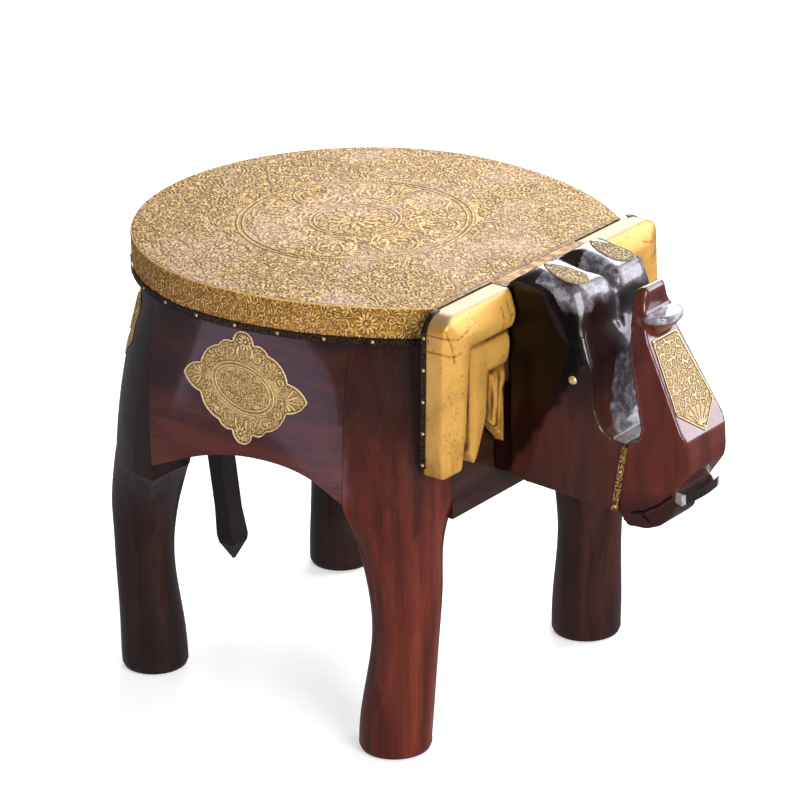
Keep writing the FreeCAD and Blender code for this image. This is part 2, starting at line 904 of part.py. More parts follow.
def bridge_sheet():
    """Plain brass over the top of the board between the ears, behind the head."""
    half = ear_inner_x - glue_gap
    y_range = (-ear_board_rear, -ear_board_front + sheet_thickness)
    return box((-half, half), y_range, (seat_height - sheet_thickness, seat_height))


def ear_edge_strip():
    """Narrow band round the rear edge of the ear, over the brass skin."""
    y_to = -ear_board_rear - ear_edge_strip_width
    ring = ear_plank(-sheet_gap - ear_edge_strip_thickness, -ear_board_rear, y_to)
    ring = ring.cut(ear_plank(-sheet_gap, -ear_board_rear + overrun, y_to - overrun))
    y_range = (-ear_board_rear + overrun, y_to - overrun)
    side = box(
        (-ear_half_width_bottom - overrun, -ear_half_width_top + sheet_thickness),
        y_range,
        (ear_bottom + ear_tooth_height / 4, seat_height + overrun),
    )
    corner = box(
        (-ear_half_width_bottom - overrun, -ear_half_width_top + ear_corner_radius),
        y_range,
        (seat_height - ear_corner_radius - overrun, seat_height + overrun),
    )
    return ring.common(side.fuse(corner))


# Head block
crest_rear_share = 0.38
crest_half_share = 0.55
# Ledge in front of the face: how far forward to the joint, how far up to the brow
face_shares = [(0.55, 0.024), (0.2, 0.096), (0.0, 0.24), (-0.03, 0.575)]
brow_underside_share = 0.825
# Where the cheek's flat begins, behind: shares of the way from the rear to the front of the head
cheek_shares = (0.2, 0.7)


def dome_line():
    """Rear and front end of the sloping crest that carries the leaf, as (y, z)."""
    rear = (-head_rear - leaf_length * crest_rear_share, dome_top)
    return rear, (-dome_front, dome_top - dome_front_drop)


def head_profile():
    """Side outline of the head block without its neck, as (y, z) from the lower rear corner."""
    crest_rear, crest_front = dome_line()
    ledge = head_joint_top_y - head_front
    rise = brow_height - head_joint_top
    face = [(-head_front - ledge * along, head_joint_top + rise * up) for along, up in face_shares]
    return [
        (-head_rear, head_rear_bottom),
        (-head_joint_bottom_y, head_front_bottom),
        (-head_joint_top_y, head_joint_top),
    ] + face + [
        (-brow_front, head_joint_top + rise * brow_underside_share),
        (-brow_front, brow_height),
        crest_front,
        crest_rear,
        (-head_rear, head_rear_top),
    ]


def cheek_plane():
    """Three points on the right cheek: behind below, behind above, and at the joint in front."""
    depth = head_front - head_rear
    low = vec(-head_half_width, -head_rear - depth * cheek_shares[0], head_rear_bottom)
    high = vec(-head_half_width, -head_rear - depth * cheek_shares[1], temple_bottom)
    front = vec(-cheek_front_half_width, -head_joint_top_y, head_joint_top)
    return low, high, front


def plane_normal(points, outward):
    a, b, c = points
    normal = (b - a).cross(c - a)
    normal.normalize()
    return normal if normal.dot(outward) > 0 else normal * -1


def x_on_plane(points, y, z):
    """The x of a point on the plane that has this y and z."""
    normal = plane_normal(points, vec(-1, 0, 0))
    origin = points[0]
    return origin.x - (normal.y * (y - origin.y) + normal.z * (z - origin.z)) / normal.x


def cut_beyond(shape, points, outward):
    """Removes what lies beyond a plane, and the same on the other side."""
    size = seat_height
    tool = half_space(points[0], plane_normal(points, outward), size)
    return shape.cut(Part.makeCompound([tool, other_side(tool)]))


# The cut between the domes: share of the way to the brow, of its half width and of its depth
recess_shares = [
    (0.05, 0.15, 0.12),
    (0.32, 0.85, 0.8),
    (0.62, 1.0, 1.0),
    (0.88, 0.72, recess_end_depth / recess_depth),
    (1.2, 0.55, recess_end_depth / recess_depth),
]


def head_recess():
    """Deep leaf-shaped cut between the two domes, open to the front in a notch."""
    span = brow_front - head_rear
    wires = []
    rise = recess_depth
    for along, width, depth in recess_shares:
        y = -head_rear - span * along
        half = recess_half_width * width
        top = dome_top + rise
        floor = dome_top - recess_depth * depth
        slope = half * (rise + recess_depth * depth) / (recess_depth * depth)
        wires.append(Part.makePolygon([
            vec(-slope, y, top), vec(slope, y, top), vec(0, y, floor), vec(-slope, y, top),
        ]))
    return Part.makeLoft(wires, True, True)


def temple_groove():
    """Tapered flute behind the front corner of the head, on the right side."""
    floor = temple_groove_floor
    outside = -head_half_width - overrun
    inside = -head_half_width + temple_groove_depth
    top = dome_top + overrun
    upper = [
        vec(outside, -temple_top_rear, top),
        vec(outside, -temple_top_front, top),
        vec(inside, -temple_top_front + floor, top),
    ]
    lower = [
        vec(outside, -temple_end + floor, temple_bottom),
        vec(outside, -temple_end, temple_bottom),
        vec(-head_half_width + floor, -temple_end, temple_bottom),
    ]
    wires = [Part.makePolygon(row + [row[0]]) for row in (upper, lower)]
    return Part.makeLoft(wires, True, True)


def head_block():
    block = side_prism(head_profile(), -head_half_width, head_half_width)
    neck = box(
        (-neck_half_width, neck_half_width),
        (-front_face_distance - glue_gap, -head_rear - overrun),
        (head_rear_bottom, neck_top),
    )
    block = block.fuse(neck)
    block = cut_beyond(block, cheek_plane(), vec(-1, 0, 0))
    crest_rear, crest_front = dome_line()
    edge_x = -dome_center_x - leaf_width * crest_half_share
    shoulder = (
        vec(edge_x, crest_rear[0], crest_rear[1]),
        vec(edge_x, crest_front[0], crest_front[1]),
        vec(-head_half_width, crest_rear[0], crest_rear[1] - dome_shoulder_drop),
    )
    block = cut_beyond(block, shoulder, vec(-1, 0, 1))
    bevel_x = -head_half_width + temple_bevel_inset
    bevel = (
        vec(bevel_x, -dome_front + temple_bevel_inset + temple_bevel_width, crest_front[1]),
        vec(bevel_x, -head_front + temple_groove_floor, temple_bottom),
        vec(-cheek_front_half_width, -brow_front + temple_bevel_width, brow_height),
    )
    block = cut_beyond(block, bevel, vec(-1, -1, 0))
    groove = temple_groove()
    return block.cut(Part.makeCompound([head_recess(), groove, other_side(groove)]))


# Trunk and jaw block
# Shares of the way forward, from the joint's lower end to the trunk's front, and up, from the
# joint's upper end to the tip of the trunk
trunk_back_shares = [(0.363, 0.04), (0.377, 0.107), (0.071, 0.558), (0.0, 0.892), (0.0, 0.973)]
trunk_tip_shares = [(0.143, 1.0), (0.2, 0.98), (0.214, 0.783)]
trunk_face_shares = [(0.3, 0.664), (1.0, 0.058)]
trunk_knuckle_shares = [(1.043, -0.075), (1.028, -0.155)]
# Shares of the way forward as above, and up from the chin to the mouth
chin_shares = [(0.66, 0.92), (0.68, 0.66), (0.62, 0.36), (0.5, 0.12), (0.33, 0.0), (0.086, 0.06)]
# Line of the mouth from behind, and the chin seen from above: shares of the way forward, then
# up to the mouth, or of the half width at the joint
mouth_line_shares = [(0.11, 0.38), (0.36, 0.51), (0.625, 0.84), (0.75, 0.93)]
chin_plan_shares = [(-0.2, 1.05), (0.125, 0.97), (0.45, 0.74), (0.62, 0.42), (0.72, 0.2)]


def trunk_point(share):
    """Place on the trunk's side view, as (y, z)."""
    along, up = share
    y = -head_joint_bottom_y - (trunk_front_y - head_joint_bottom_y) * along
    return y, head_joint_top + (trunk_tip_top - head_joint_top) * up


def chin_point(share):
    """Place on the chin's side view, as (y, z)."""
    along, up = share
    y = -head_joint_bottom_y - (trunk_front_y - head_joint_bottom_y) * along
    return y, chin_bottom + (mouth_height - chin_bottom) * up


def trunk_front_line():
    """Upper and lower end of the flat front of the trunk, as (y, z)."""
    return [trunk_point(share) for share in trunk_face_shares]


def trunk_profile():
    """Side outline of the trunk and jaw, as (y, z) from the lower end of the joint."""
    seat = -tusk_back + glue_gap
    tusk_low, tusk_high = tusk_heights()
    upper_shares = trunk_back_shares + trunk_tip_shares + trunk_face_shares + trunk_knuckle_shares
    return [
        (-head_joint_bottom_y - glue_gap * 2, head_front_bottom),
        (-head_joint_top_y - glue_gap * 2, head_joint_top),
    ] + [trunk_point(share) for share in upper_shares] + [
        (seat, tusk_high + glue_gap),
        (seat, tusk_low - glue_gap),
    ] + [chin_point(share) for share in chin_shares]


def jaw_plane():
    """Three points on the right side of the jaw."""
    low_x = x_on_plane(cheek_plane(), -head_joint_bottom_y, head_front_bottom)
    low = vec(low_x, -head_joint_bottom_y, head_front_bottom)
    high = vec(-cheek_front_half_width, -head_joint_top_y, head_joint_top)
    front = vec(-trunk_half_width, -trunk_front_y, head_joint_top)
    return low, high, front


def chin_sides():
    """What is cut away under the mouth line to narrow the chin towards its front."""
    back_y, back_z = chin_point(mouth_line_shares[0])
    front_y = -trunk_front_y - overrun
    low = chin_bottom - overrun
    line = [chin_point(share) for share in mouth_line_shares]
    outline = [(back_y, low)] + line + [(front_y, line[-1][1]), (front_y, low)]
    zone = side_prism(outline, -head_half_width, head_half_width)
    right = []
    for along, width in chin_plan_shares:
        y = chin_point((along, 0))[0]
        right.append(vec(-cheek_front_half_width * width, y, low))
    left = [vec(-point.x, point.y, point.z) for point in reversed(right)]
    plan = closed_face(right + left).extrude(vec(0, 0, back_z))
    return zone.cut(plan)


def trunk_lip():
    """The lip that curls forward at the tip of the trunk, like a small shovel."""
    upper_y = trunk_front_line()[0][0]
    root = -trunk_tip_y
    low = trunk_lip_top - trunk_lip_root_drop
    sections = [
        (trunk_lip_half_width - trunk_lip_edge, upper_y - sheet_thickness, low),
        (trunk_lip_half_width, -trunk_lip_front, trunk_lip_top - trunk_lip_edge),
        (trunk_lip_half_width, -trunk_lip_front, trunk_lip_top),
    ]
    wires = []
    for half, front, z in sections:
        bow = arc_edge(vec(-half, root, z), vec(0, front, z), vec(half, root, z))
        wires.append(Part.Wire([bow, Part.makeLine(vec(half, root, z), vec(-half, root, z))]))
    return Part.makeLoft(wires, True, True)


def trunk_block():
    half = cheek_front_half_width + overrun
    block = side_prism(trunk_profile(), -half, half)
    block = cut_beyond(block, jaw_plane(), vec(-1, 0, 0))
    _, lower = trunk_front_line()
    taper = (
        vec(-trunk_half_width, lower[0], lower[1] + trunk_half_width / 2),
        vec(-trunk_root_half_width, -head_joint_top_y - overrun, head_joint_top + overrun),
        vec(-trunk_tip_half_width, -trunk_tip_y, trunk_tip_top),
    )
    block = cut_beyond(block, taper, vec(-1, 0, 0))
    chin = (
        vec(-cheek_front_half_width, -head_joint_bottom_y, mouth_height),
        vec(-chin_half_width, -head_joint_bottom_y, chin_bottom),
        vec(-chin_front_half_width, -tusk_back, chin_bottom),
    )
    block = cut_beyond(block, chin, vec(-1, 0, -1))
    return block.cut(chin_sides()).fuse(trunk_lip())


def trunk_front_frame():
    """Origin at the top of the trunk's flat front, with the directions down it and out of it."""
    upper, lower = trunk_front_line()
    down = vec(0, lower[0] - upper[0], lower[1] - upper[1])
    length = down.Length
    down.normalize()
    out = vec(0, down.z, -down.y)
    return vec(0, upper[0], upper[1]), down, out, length


# Corners of the plate: shares of the trunk's half width and of the length of its flat front
trunk_plate_shares = [(-0.62, 0.01), (0.62, 0.01), (0.95, 0.735), (0.0, 0.99), (-0.95, 0.735)]


def trunk_plate_points():
    """Pentagon of the brass plate: (across, down) from the top of the trunk's flat front."""
    length = trunk_front_frame()[3]
    return [(trunk_half_width * across, length * down) for across, down in trunk_plate_shares]


def trunk_plate():
    origin, down, out, _ = trunk_front_frame()
    points = []
    for across, along in trunk_plate_points():
        points.append(origin + vec(1, 0, 0) * across + down * along + out * sheet_gap)
    return closed_face(points).extrude(out * plate_thickness)


def trunk_pin_places():
    """Pins just inside the corners of the plate."""
    origin, down, out, length = trunk_front_frame()
    places = []
    middle = length / 2
    pull = 1 - trunk_pin_inset / middle
    lift = out * (sheet_gap * 2 + plate_thickness)
    for across, along in trunk_plate_points():
        along_in = middle + (along - middle) * pull
        places.append((origin + vec(across * pull, 0, 0) + down * along_in + lift, out))
    return places


# Brass trim of the head
# The leaf: where it is widest and where it ends, and a middle point of its curved sides, as
# shares of its length and its half width
leaf_wide_share = 0.62
leaf_end_share = 0.985
leaf_side_shares = (0.27, 0.72)
cheek_pin_shares = (0.06, 0.62)


def leaf_plate():
    """Leaf on the crest of the right dome: pointed behind, round in front."""
    crest_rear, crest_front = dome_line()
    start = vec(-dome_center_x, crest_rear[0], crest_rear[1])
    along = vec(0, crest_front[0] - crest_rear[0], crest_front[1] - crest_rear[1])
    along.normalize()
    up = vec(0, -along.z, along.y) * -1
    across = vec(1, 0, 0)
    half = leaf_width / 2
    base = start + up * sheet_gap

    def place(side, run):
        return base + across * side + along * run

    wide = leaf_length * leaf_wide_share
    bulge_run = leaf_length * leaf_side_shares[0]
    bulge = half * leaf_side_shares[1]
    rear_left = arc_edge(place(0, 0), place(-bulge, bulge_run), place(-half, wide))
    front = arc_edge(place(-half, wide), place(0, leaf_length * leaf_end_share), place(half, wide))
    rear_right = arc_edge(place(half, wide), place(bulge, bulge_run), place(0, 0))
    face = Part.Face(Part.Wire([rear_left, front, rear_right]))
    return face.extrude(up * leaf_thickness)


def eye_place():
    points = cheek_plane()
    out = plane_normal(points, vec(-1, 0, 0))
    x = x_on_plane(points, -eye_distance, eye_level)
    return vec(x, -eye_distance, eye_level) + out * sheet_gap, out


def eye_stud():
    place, out = eye_place()
    return round_nail(place, out, eye_radius, eye_head_height, eye_shank_radius, eye_shank_length)


def eye_bore():
    place, out = eye_place()
    deep = eye_shank_length + pin_clearance
    return cylinder(place - out * deep, out, eye_shank_radius + pin_clearance, deep + overrun)


def cheek_strip_ends():
    """Lower and upper end of the cheek strip, on the right cheek over the joint."""
    points = cheek_plane()
    low_y = -head_joint_bottom_y
    low_z = head_front_bottom + cheek_strip_trim
    high_y = -head_joint_top_y + cheek_strip_trim / 4
    high_z = head_joint_top - cheek_strip_trim
    low = vec(x_on_plane(points, low_y, low_z), low_y, low_z)
    high = vec(x_on_plane(points, high_y, high_z), high_y, high_z)
    return low, high, plane_normal(points, vec(-1, 0, 0))


def cheek_strip():
    low, high, out = cheek_strip_ends()
    along = high - low
    side = along.cross(out)
    side.normalize()
    half = side * (cheek_strip_width / 2)
    lift = out * (sheet_gap * 2)
    face = closed_face([low - half + lift, low + half + lift, high + half + lift, high - half + lift])
    return face.extrude(out * cheek_strip_thickness)


def cheek_pin_places():
    low, high, out = cheek_strip_ends()
    lift = out * (sheet_gap * 3 + cheek_strip_thickness)
    return [(low + (high - low) * share + lift, out) for share in cheek_pin_shares]


# Tusks: one dark bar across the mouth, bowed in front, with a pale tip on each end
def tusk_bar(z_low, z_high):
    half = tusk_half_width
    inner = half - tusk_end_slant
    end_front = -tusk_back - tusk_end_depth
    right_front = vec(-half, end_front, z_low)
    left_front = vec(half, end_front, z_low)
    right_back = vec(-inner, -tusk_back, z_low)
    left_back = vec(inner, -tusk_back, z_low)
    wire = Part.Wire([
        arc_edge(right_front, vec(0, -tusk_back - tusk_depth, z_low), left_front),
        Part.makeLine(left_front, left_back),
        Part.makeLine(left_back, right_back),
        Part.makeLine(right_back, right_front),
    ])
    return Part.Face(wire).extrude(vec(0, 0, z_high - z_low))


def tusk_heights():
    low = mouth_height - tusk_drop
    return low, low + tusk_height


def tusk_part(x_from, x_to):
    """The stretch of the tusk bar between two places across it."""
    low, high = tusk_heights()
    front = -tusk_back - tusk_depth - overrun
    keep = box((x_from, x_to), (front, 0), (low - overrun, high + overrun))
    return tusk_bar(low, high).common(keep)


def tusk_crescent():
    split = tusk_half_width - tusk_tip_length
    return tusk_part(-split, split)


def tusk_tip():
    split = tusk_half_width - tusk_tip_length + glue_gap
    return tusk_part(-tusk_half_width - overrun, -split)


# Tail: square bar with a spear-shaped end, leaning in a little
# Rows of the bar: share of the way from its tip to the panel's lower edge, and half width share
tail_bar_shares = [(1.0, 1.05), (0.65, 1.04), (0.24, 1.02)]
# Rows of the spear: height in spear widths above the tip, and half width share
tail_spear_shares = [(1.05, 1.18), (0.8, 1.08), (0.0, 0.12)]
tail_head_shares = (0.7, 1.0)


def tail():
    reach = rear_panel_bottom - tail_tip
    lean = tail_lean / reach
    rows = [(tail_top, tail_head_shares[0]), (tail_top - tail_width, tail_head_shares[1])]
    rows += [(tail_tip + reach * height, width) for height, width in tail_bar_shares]
    rows += [(tail_tip + tail_spear_width * height, width) for height, width in tail_spear_shares]
    panel_face = rear_face_distance + glue_gap * 2
    root = panel_face + tail_root_depth - tail_width / 2
    wires = []
    for z, width in rows:
        y = root - lean * max(0, rear_panel_bottom - z)
        half = tail_width * width / 2
        cut = half * tail_bevel_share
        back = panel_face if z >= rear_panel_bottom else y - half
        right = [vec(-half + cut, y + half, z), vec(-half, y + half - cut, z), vec(-half, back, z)]
        left = [vec(-point.x, point.y, z) for point in reversed(right)]
        wires.append(Part.makePolygon(left + right + left[:1]))
    return Part.makeLoft(wires, True, True)


# Hidden dowels and screws, each with its bore
def upright_dowel(x, y, z_middle, length, radius):
    return cylinder(vec(x, y, z_middle - length / 2), vec(0, 0, 1), radius, length)


def lengthwise_dowel(x, z, y_from, length, radius):
    return cylinder(vec(x, y_from, z), vec(0, -1, 0), radius, length)


def both_sides(shape):
    return [shape, other_side(shape)]


def dowel_set(make):
    """Dowels and their bores from one rule that takes a clearance."""
    return make(0), make(dowel_clearance)


def leg_dowels(clearance):
    x = -rear_foot_x - rear_leg_side_lean
    y = rear_foot_y - rear_leg_side_lean
    one = upright_dowel(x, y, rear_leg_top, leg_dowel_length + clearance * 2, dowel_radius + clearance)
    return both_sides(one)


def seat_dowels(clearance):
    z = body_top()
    length = seat_dowel_length + clearance * 2
    radius = dowel_radius + clearance
    wall_middle = seat_radius - body_setback - panel_wall / 2
    hip_middle = wall_middle * hip_dowel_share
    places = [
        (-front_foot_x + front_leg_lean, front_foot_y - front_leg_lean),
        (-hip_middle, hip_middle),
        (-wall_middle, arch_apex / 2),
    ]
    dowels = []
    for x, y in places:
        dowels += both_sides(upright_dowel(x, y, z, length, radius))
    return dowels


def head_dowels(clearance):
    y_from = -front_face_distance + board_wall + clearance
    z = (head_rear_bottom + neck_top) / 2
    length = head_dowel_length + clearance * 2
    return both_sides(lengthwise_dowel(-neck_half_width / 2, z, y_from, length, dowel_radius + clearance))


def jaw_dowels(clearance):
    low_y, high_y = -head_joint_bottom_y, -head_joint_top_y
    along = vec(0, high_y - low_y, head_joint_top - head_front_bottom)
    along.normalize()
    out = vec(0, -along.z, along.y)
    middle = vec(-trunk_half_width / 2, (low_y + high_y) / 2, (head_joint_top + head_front_bottom) / 2)
    length = jaw_dowel_length + clearance * 2
    start = middle - out * (length / 2)
    return both_sides(cylinder(start, out, dowel_radius + clearance, length))


def ear_dowels(clearance):
    x = -(ear_inner_x + ear_half_width_top) / 2
    z = seat_height - seat_board_thickness / 2
    length = ear_dowel_length + clearance * 2
    y_from = -ear_board_rear + length / 2
    return both_sides(lengthwise_dowel(x, z, y_from, length, ear_dowel_radius + clearance))


def tail_dowel(clearance):
    z = tail_top - tail_width * 3 / 2
    length = tail_dowel_length + clearance * 2
    y_from = rear_face_distance + tail_width / 2 + clearance
    return [lengthwise_dowel(0, z, y_from, length, tail_width / 4 + clearance)]


def bridge_screws(clearance):
    """Countersunk screws through the middle of the ear board into the seat board."""
    z = seat_height - seat_board_thickness / 2
    radius = screw_radius + clearance
    head = screw_head_radius + clearance
    face = -ear_board_front + sheet_thickness + sheet_gap - clearance
    shank = cylinder(vec(-dome_center_x, face, z), vec(0, 1, 0), radius, screw_length + clearance * 2)
    cone = Part.makeCone(head, radius, screw_head_radius - screw_radius + clearance,
                         vec(-dome_center_x, face, z), vec(0, 1, 0))
    return both_sides(shank.fuse(cone).removeSplitter())


def upright_board(half, y_range, bottom, room):
    """Flat board of the body, or with some room round it the space that it needs."""
    return box(
        (-half - room, half + room),
        (y_range[0] - room, y_range[1] + room),
        (bottom - room, body_top() - glue_gap + room),
    )


def chest_panel(room):
    y_range = (-front_face_distance, -front_face_distance + board_wall)
    return upright_board(front_post_inner - glue_gap, y_range, chest_panel_bottom, room)


def rear_panel(room):
    y_range = (rear_face_distance - board_wall, rear_face_distance)
    return upright_board(rear_post_inner - glue_gap, y_range, rear_panel_bottom, room)


# Seat pieces
def seat_board():
    inset = sheet_thickness + sheet_gap
    return seat_slab(inset, body_top(), seat_height - sheet_thickness - sheet_gap)


def seat_sheet():
    low = seat_height - sheet_thickness
    reach = seat_side_radius
    keep = box((-reach, reach), (chord_strip_width - seat_chord_distance, reach), (low, seat_height))
    return seat_slab(0, low, seat_height).common(keep)


def rim_trim(shape):
    """Keeps the curved part of a rim band and drops its straight part behind the ears."""
    reach = seat_side_radius
    keep = box((-reach, reach), (-seat_chord_distance + sheet_thickness, reach), (0, seat_height))
    return shape.common(keep)


def rim_band():
    low = body_top()
    high = seat_height - sheet_thickness
    ring = seat_slab(0, low, high).cut(seat_slab(sheet_thickness, low - overrun, high + overrun))
    return rim_trim(ring)


def rim_edge_strip():
    low = body_top()
    high = low + edge_strip_height
    outer = seat_slab(-edge_strip_thickness - sheet_gap, low, high)
    return rim_trim(outer.cut(seat_slab(-sheet_gap, low - overrun, high + overrun)))


def rim_pin_places():
    quarter = seat_radius * math.pi / 2
    front_turn = math.asin(seat_chord_distance / seat_side_radius)
    half_run = quarter + seat_side_radius * front_turn - rim_pin_spacing / 3
    count = int(half_run / rim_pin_spacing)
    places = []
    for index in range(-count, count + 1):
        flat, out = rim_place(index * half_run / count, sheet_gap * 2 + edge_strip_thickness)
        places.append((flat + vec(0, 0, body_top() + edge_strip_height / 2), out))
    return places


def ear_pin_places():
    lift = sheet_gap * 2 + ear_edge_strip_thickness
    top = seat_height - ear_corner_radius
    low = ear_bottom + outer_moulding_width / 3
    count = 5
    places = []
    for index in range(count):
        z = top + (low - top) * index / (count - 1)
        y = -ear_board_rear - ear_edge_strip_width / 2
        places.append((vec(-ear_outer_x(z) - lift, y, z), vec(-1, 0, 0)))
    return places


def chord_strip():
    """Strip along the seat's straight edge, level with the embossed sheet behind it."""
    half = seat_half_chord(0)
    return box(
        (-half, half),
        (-seat_chord_distance, chord_strip_width - sheet_gap - seat_chord_distance),
        (seat_height - sheet_thickness, seat_height),
    )


def pins_at(places):
    return Part.makeCompound([pin(place, out) for place, out in places])


def bores_at(places):
    return [pin_bore(place, out) for place, out in places]


def add_pair(name, shape):
    add(name + "_right", shape)
    add(name + "_left", other_side(shape))


def build_seat():
    dowels, dowel_bores = dowel_set(seat_dowels)
    ear_pegs, ear_peg_bores = dowel_set(ear_dowels)
    screws, screw_bores = dowel_set(bridge_screws)
    rim_bores = bores_at(rim_pin_places())
    add("seat_board", cut_all(seat_board(), dowel_bores + ear_peg_bores + screw_bores + rim_bores))
    add("seat_top_sheet", seat_sheet())
    add("seat_rim_band", cut_all(rim_band(), rim_bores))
    add("rim_edge_strip", cut_all(rim_edge_strip(), rim_bores))
    add("rim_pins", pins_at(rim_pin_places()))
    add("seat_chord_strip", chord_strip())
    add("seat_dowels", Part.makeCompound(dowels))
    add("ear_dowels", Part.makeCompound(ear_pegs))
    add("ear_board_screws", Part.makeCompound(screws))
    ear_bores = bores_at(ear_pin_places())
    ear_bores += [other_side(bore) for bore in ear_bores]
    add("ear_board", cut_all(ear_board(), ear_peg_bores + screw_bores + ear_bores))
    add("bridge_sheet", bridge_sheet())
    add_pair("ear_sheet", cut_all(ear_sheet(), bores_at(ear_pin_places())))
    add_pair("ear_edge_strip", cut_all(ear_edge_strip(), bores_at(ear_pin_places())))
    add_pair("ear_pins", pins_at(ear_pin_places()))


def build_body():
    seat_bores = seat_dowels(dowel_clearance)
    dowels, leg_bores = dowel_set(leg_dowels)
    head_bores = head_dowels(dowel_clearance)
    tail_bores = tail_dowel(dowel_clearance)
    add_pair("front_leg", cut_all(front_leg(), seat_bores + [chest_panel(glue_gap)]))
    add_pair("hip_block", cut_all(hip_block(), seat_bores + leg_bores))
    add_pair("rear_leg", cut_all(rear_leg(), leg_bores))
    add_pair("flank_panel", cut_all(flank_panel(), seat_bores))
    add("leg_dowels", Part.makeCompound(dowels))
    add("chest_panel", cut_all(chest_panel(0), head_bores))
    add("rear_panel", cut_all(rear_panel(0), tail_bores))
    add_pair("flank_medallion", flank_medallion())
    add_pair("rump_ornament", rump_ornament().cut(rear_panel(sheet_gap)))
    add("tail", cut_all(tail(), tail_bores))
    add("tail_dowel", Part.makeCompound(tail_dowel(0)))


def build_head():
    pegs, head_bores = dowel_set(head_dowels)
    jaw_pegs, jaw_bores = dowel_set(jaw_dowels)
    cheek_bores = bores_at(cheek_pin_places())
    cheek_bores += [other_side(bore) for bore in cheek_bores]
    eye_bores = both_sides(eye_bore())
    plate_bores = bores_at(trunk_pin_places())
    add("head_block", cut_all(head_block(), head_bores + jaw_bores + cheek_bores + eye_bores))
    add("trunk_block", cut_all(trunk_block(), jaw_bores + cheek_bores + plate_bores))
    add("head_dowels", Part.makeCompound(pegs))
    add("jaw_dowels", Part.makeCompound(jaw_pegs))
    add("trunk_plate", cut_all(trunk_plate(), plate_bores))
    add("trunk_plate_pins", pins_at(trunk_pin_places()))
    add_pair("dome_leaf", leaf_plate())
    add_pair("eye_stud", eye_stud())
    add_pair("cheek_strip", cut_all(cheek_strip(), bores_at(cheek_pin_places())))
    add_pair("cheek_pins", pins_at(cheek_pin_places()))
    add("tusk_crescent", tusk_crescent())
    add_pair("tusk_tip", tusk_tip())


def write_nodes():
    """Centres the stool over the origin from front to back, and writes each piece."""
    front = nodes["trunk_block"].optimalBoundingBox(False).YMin
    rear = nodes["rim_pins"].optimalBoundingBox(False).YMax
    shift = vec(0, -(front + rear) / 2, 0)
    for name, shape in nodes.items():
        placed = shape.copy()
        placed.translate(shift)
        placed.exportStep("parts/" + name + ".step")
        print(name, len(placed.Solids), round(placed.Volume))


build_seat()
build_body()
build_head()
write_nodes()
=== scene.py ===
import math

import bmesh
import bpy
import numpy as np
from mathutils import Matrix, Vector, noise
from mathutils.bvhtree import BVHTree


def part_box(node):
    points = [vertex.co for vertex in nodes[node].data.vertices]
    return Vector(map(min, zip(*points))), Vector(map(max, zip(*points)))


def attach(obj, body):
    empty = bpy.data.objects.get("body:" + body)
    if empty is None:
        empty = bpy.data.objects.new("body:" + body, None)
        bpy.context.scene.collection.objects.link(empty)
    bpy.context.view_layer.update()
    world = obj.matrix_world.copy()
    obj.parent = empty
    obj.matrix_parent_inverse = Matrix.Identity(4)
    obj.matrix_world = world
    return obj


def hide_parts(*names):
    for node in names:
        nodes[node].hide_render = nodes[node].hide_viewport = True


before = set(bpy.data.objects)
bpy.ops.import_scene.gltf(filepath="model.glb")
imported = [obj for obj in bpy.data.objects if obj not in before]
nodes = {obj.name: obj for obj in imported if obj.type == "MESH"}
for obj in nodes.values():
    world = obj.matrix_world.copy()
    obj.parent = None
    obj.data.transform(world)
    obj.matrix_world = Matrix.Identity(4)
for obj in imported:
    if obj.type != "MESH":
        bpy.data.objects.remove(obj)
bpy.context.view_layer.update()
print("frame loaded:", len(nodes), "CAD nodes")

# the model's own middle is the seat's; the frame's middle is the footprint's
earBoardBack = 174.6
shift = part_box("ear_board")[1].y * 1000 + earBoardBack


def place(x, y, z):
    return Vector((x, y + shift, z)) / 1000


# materials

def hexColor(text):
    channels = [int(text[i:i + 2], 16) / 255 for i in (1, 3, 5)]
    linear = [c / 12.92 if c <= 0.04045 else ((c + 0.055) / 1.055) ** 2.4 for c in channels]
    return (*linear, 1)


def addNode(tree, kind, inputs=None, **settings):
    node = tree.nodes.new("ShaderNode" + kind)
    for key, value in settings.items():
        if key == "stops":
            ramp = node.color_ramp
            while len(ramp.elements) < len(value):
                ramp.elements.new(0.5)
            for element, (position, color) in zip(ramp.elements, value):
                element.position = position
                element.color = hexColor(color)
        else:
            setattr(node, key, value)
    for key, value in (inputs or {}).items():
        # a node given as a value stands for its first output
        source = value.outputs[0] if isinstance(value, bpy.types.Node) else value
        if isinstance(source, bpy.types.NodeSocket):
            tree.links.new(source, node.inputs[key])
        else:
            node.inputs[key].default_value = source
    return node


def newMaterial(name):
    material = bpy.data.materials.new(name)
    material.use_nodes = True
    material.node_tree.nodes.clear()
    return material, material.node_tree


def addSurface(tree, inputs):
    shader = addNode(tree, "BsdfPrincipled", inputs)
    addNode(tree, "OutputMaterial", {"Surface": shader})


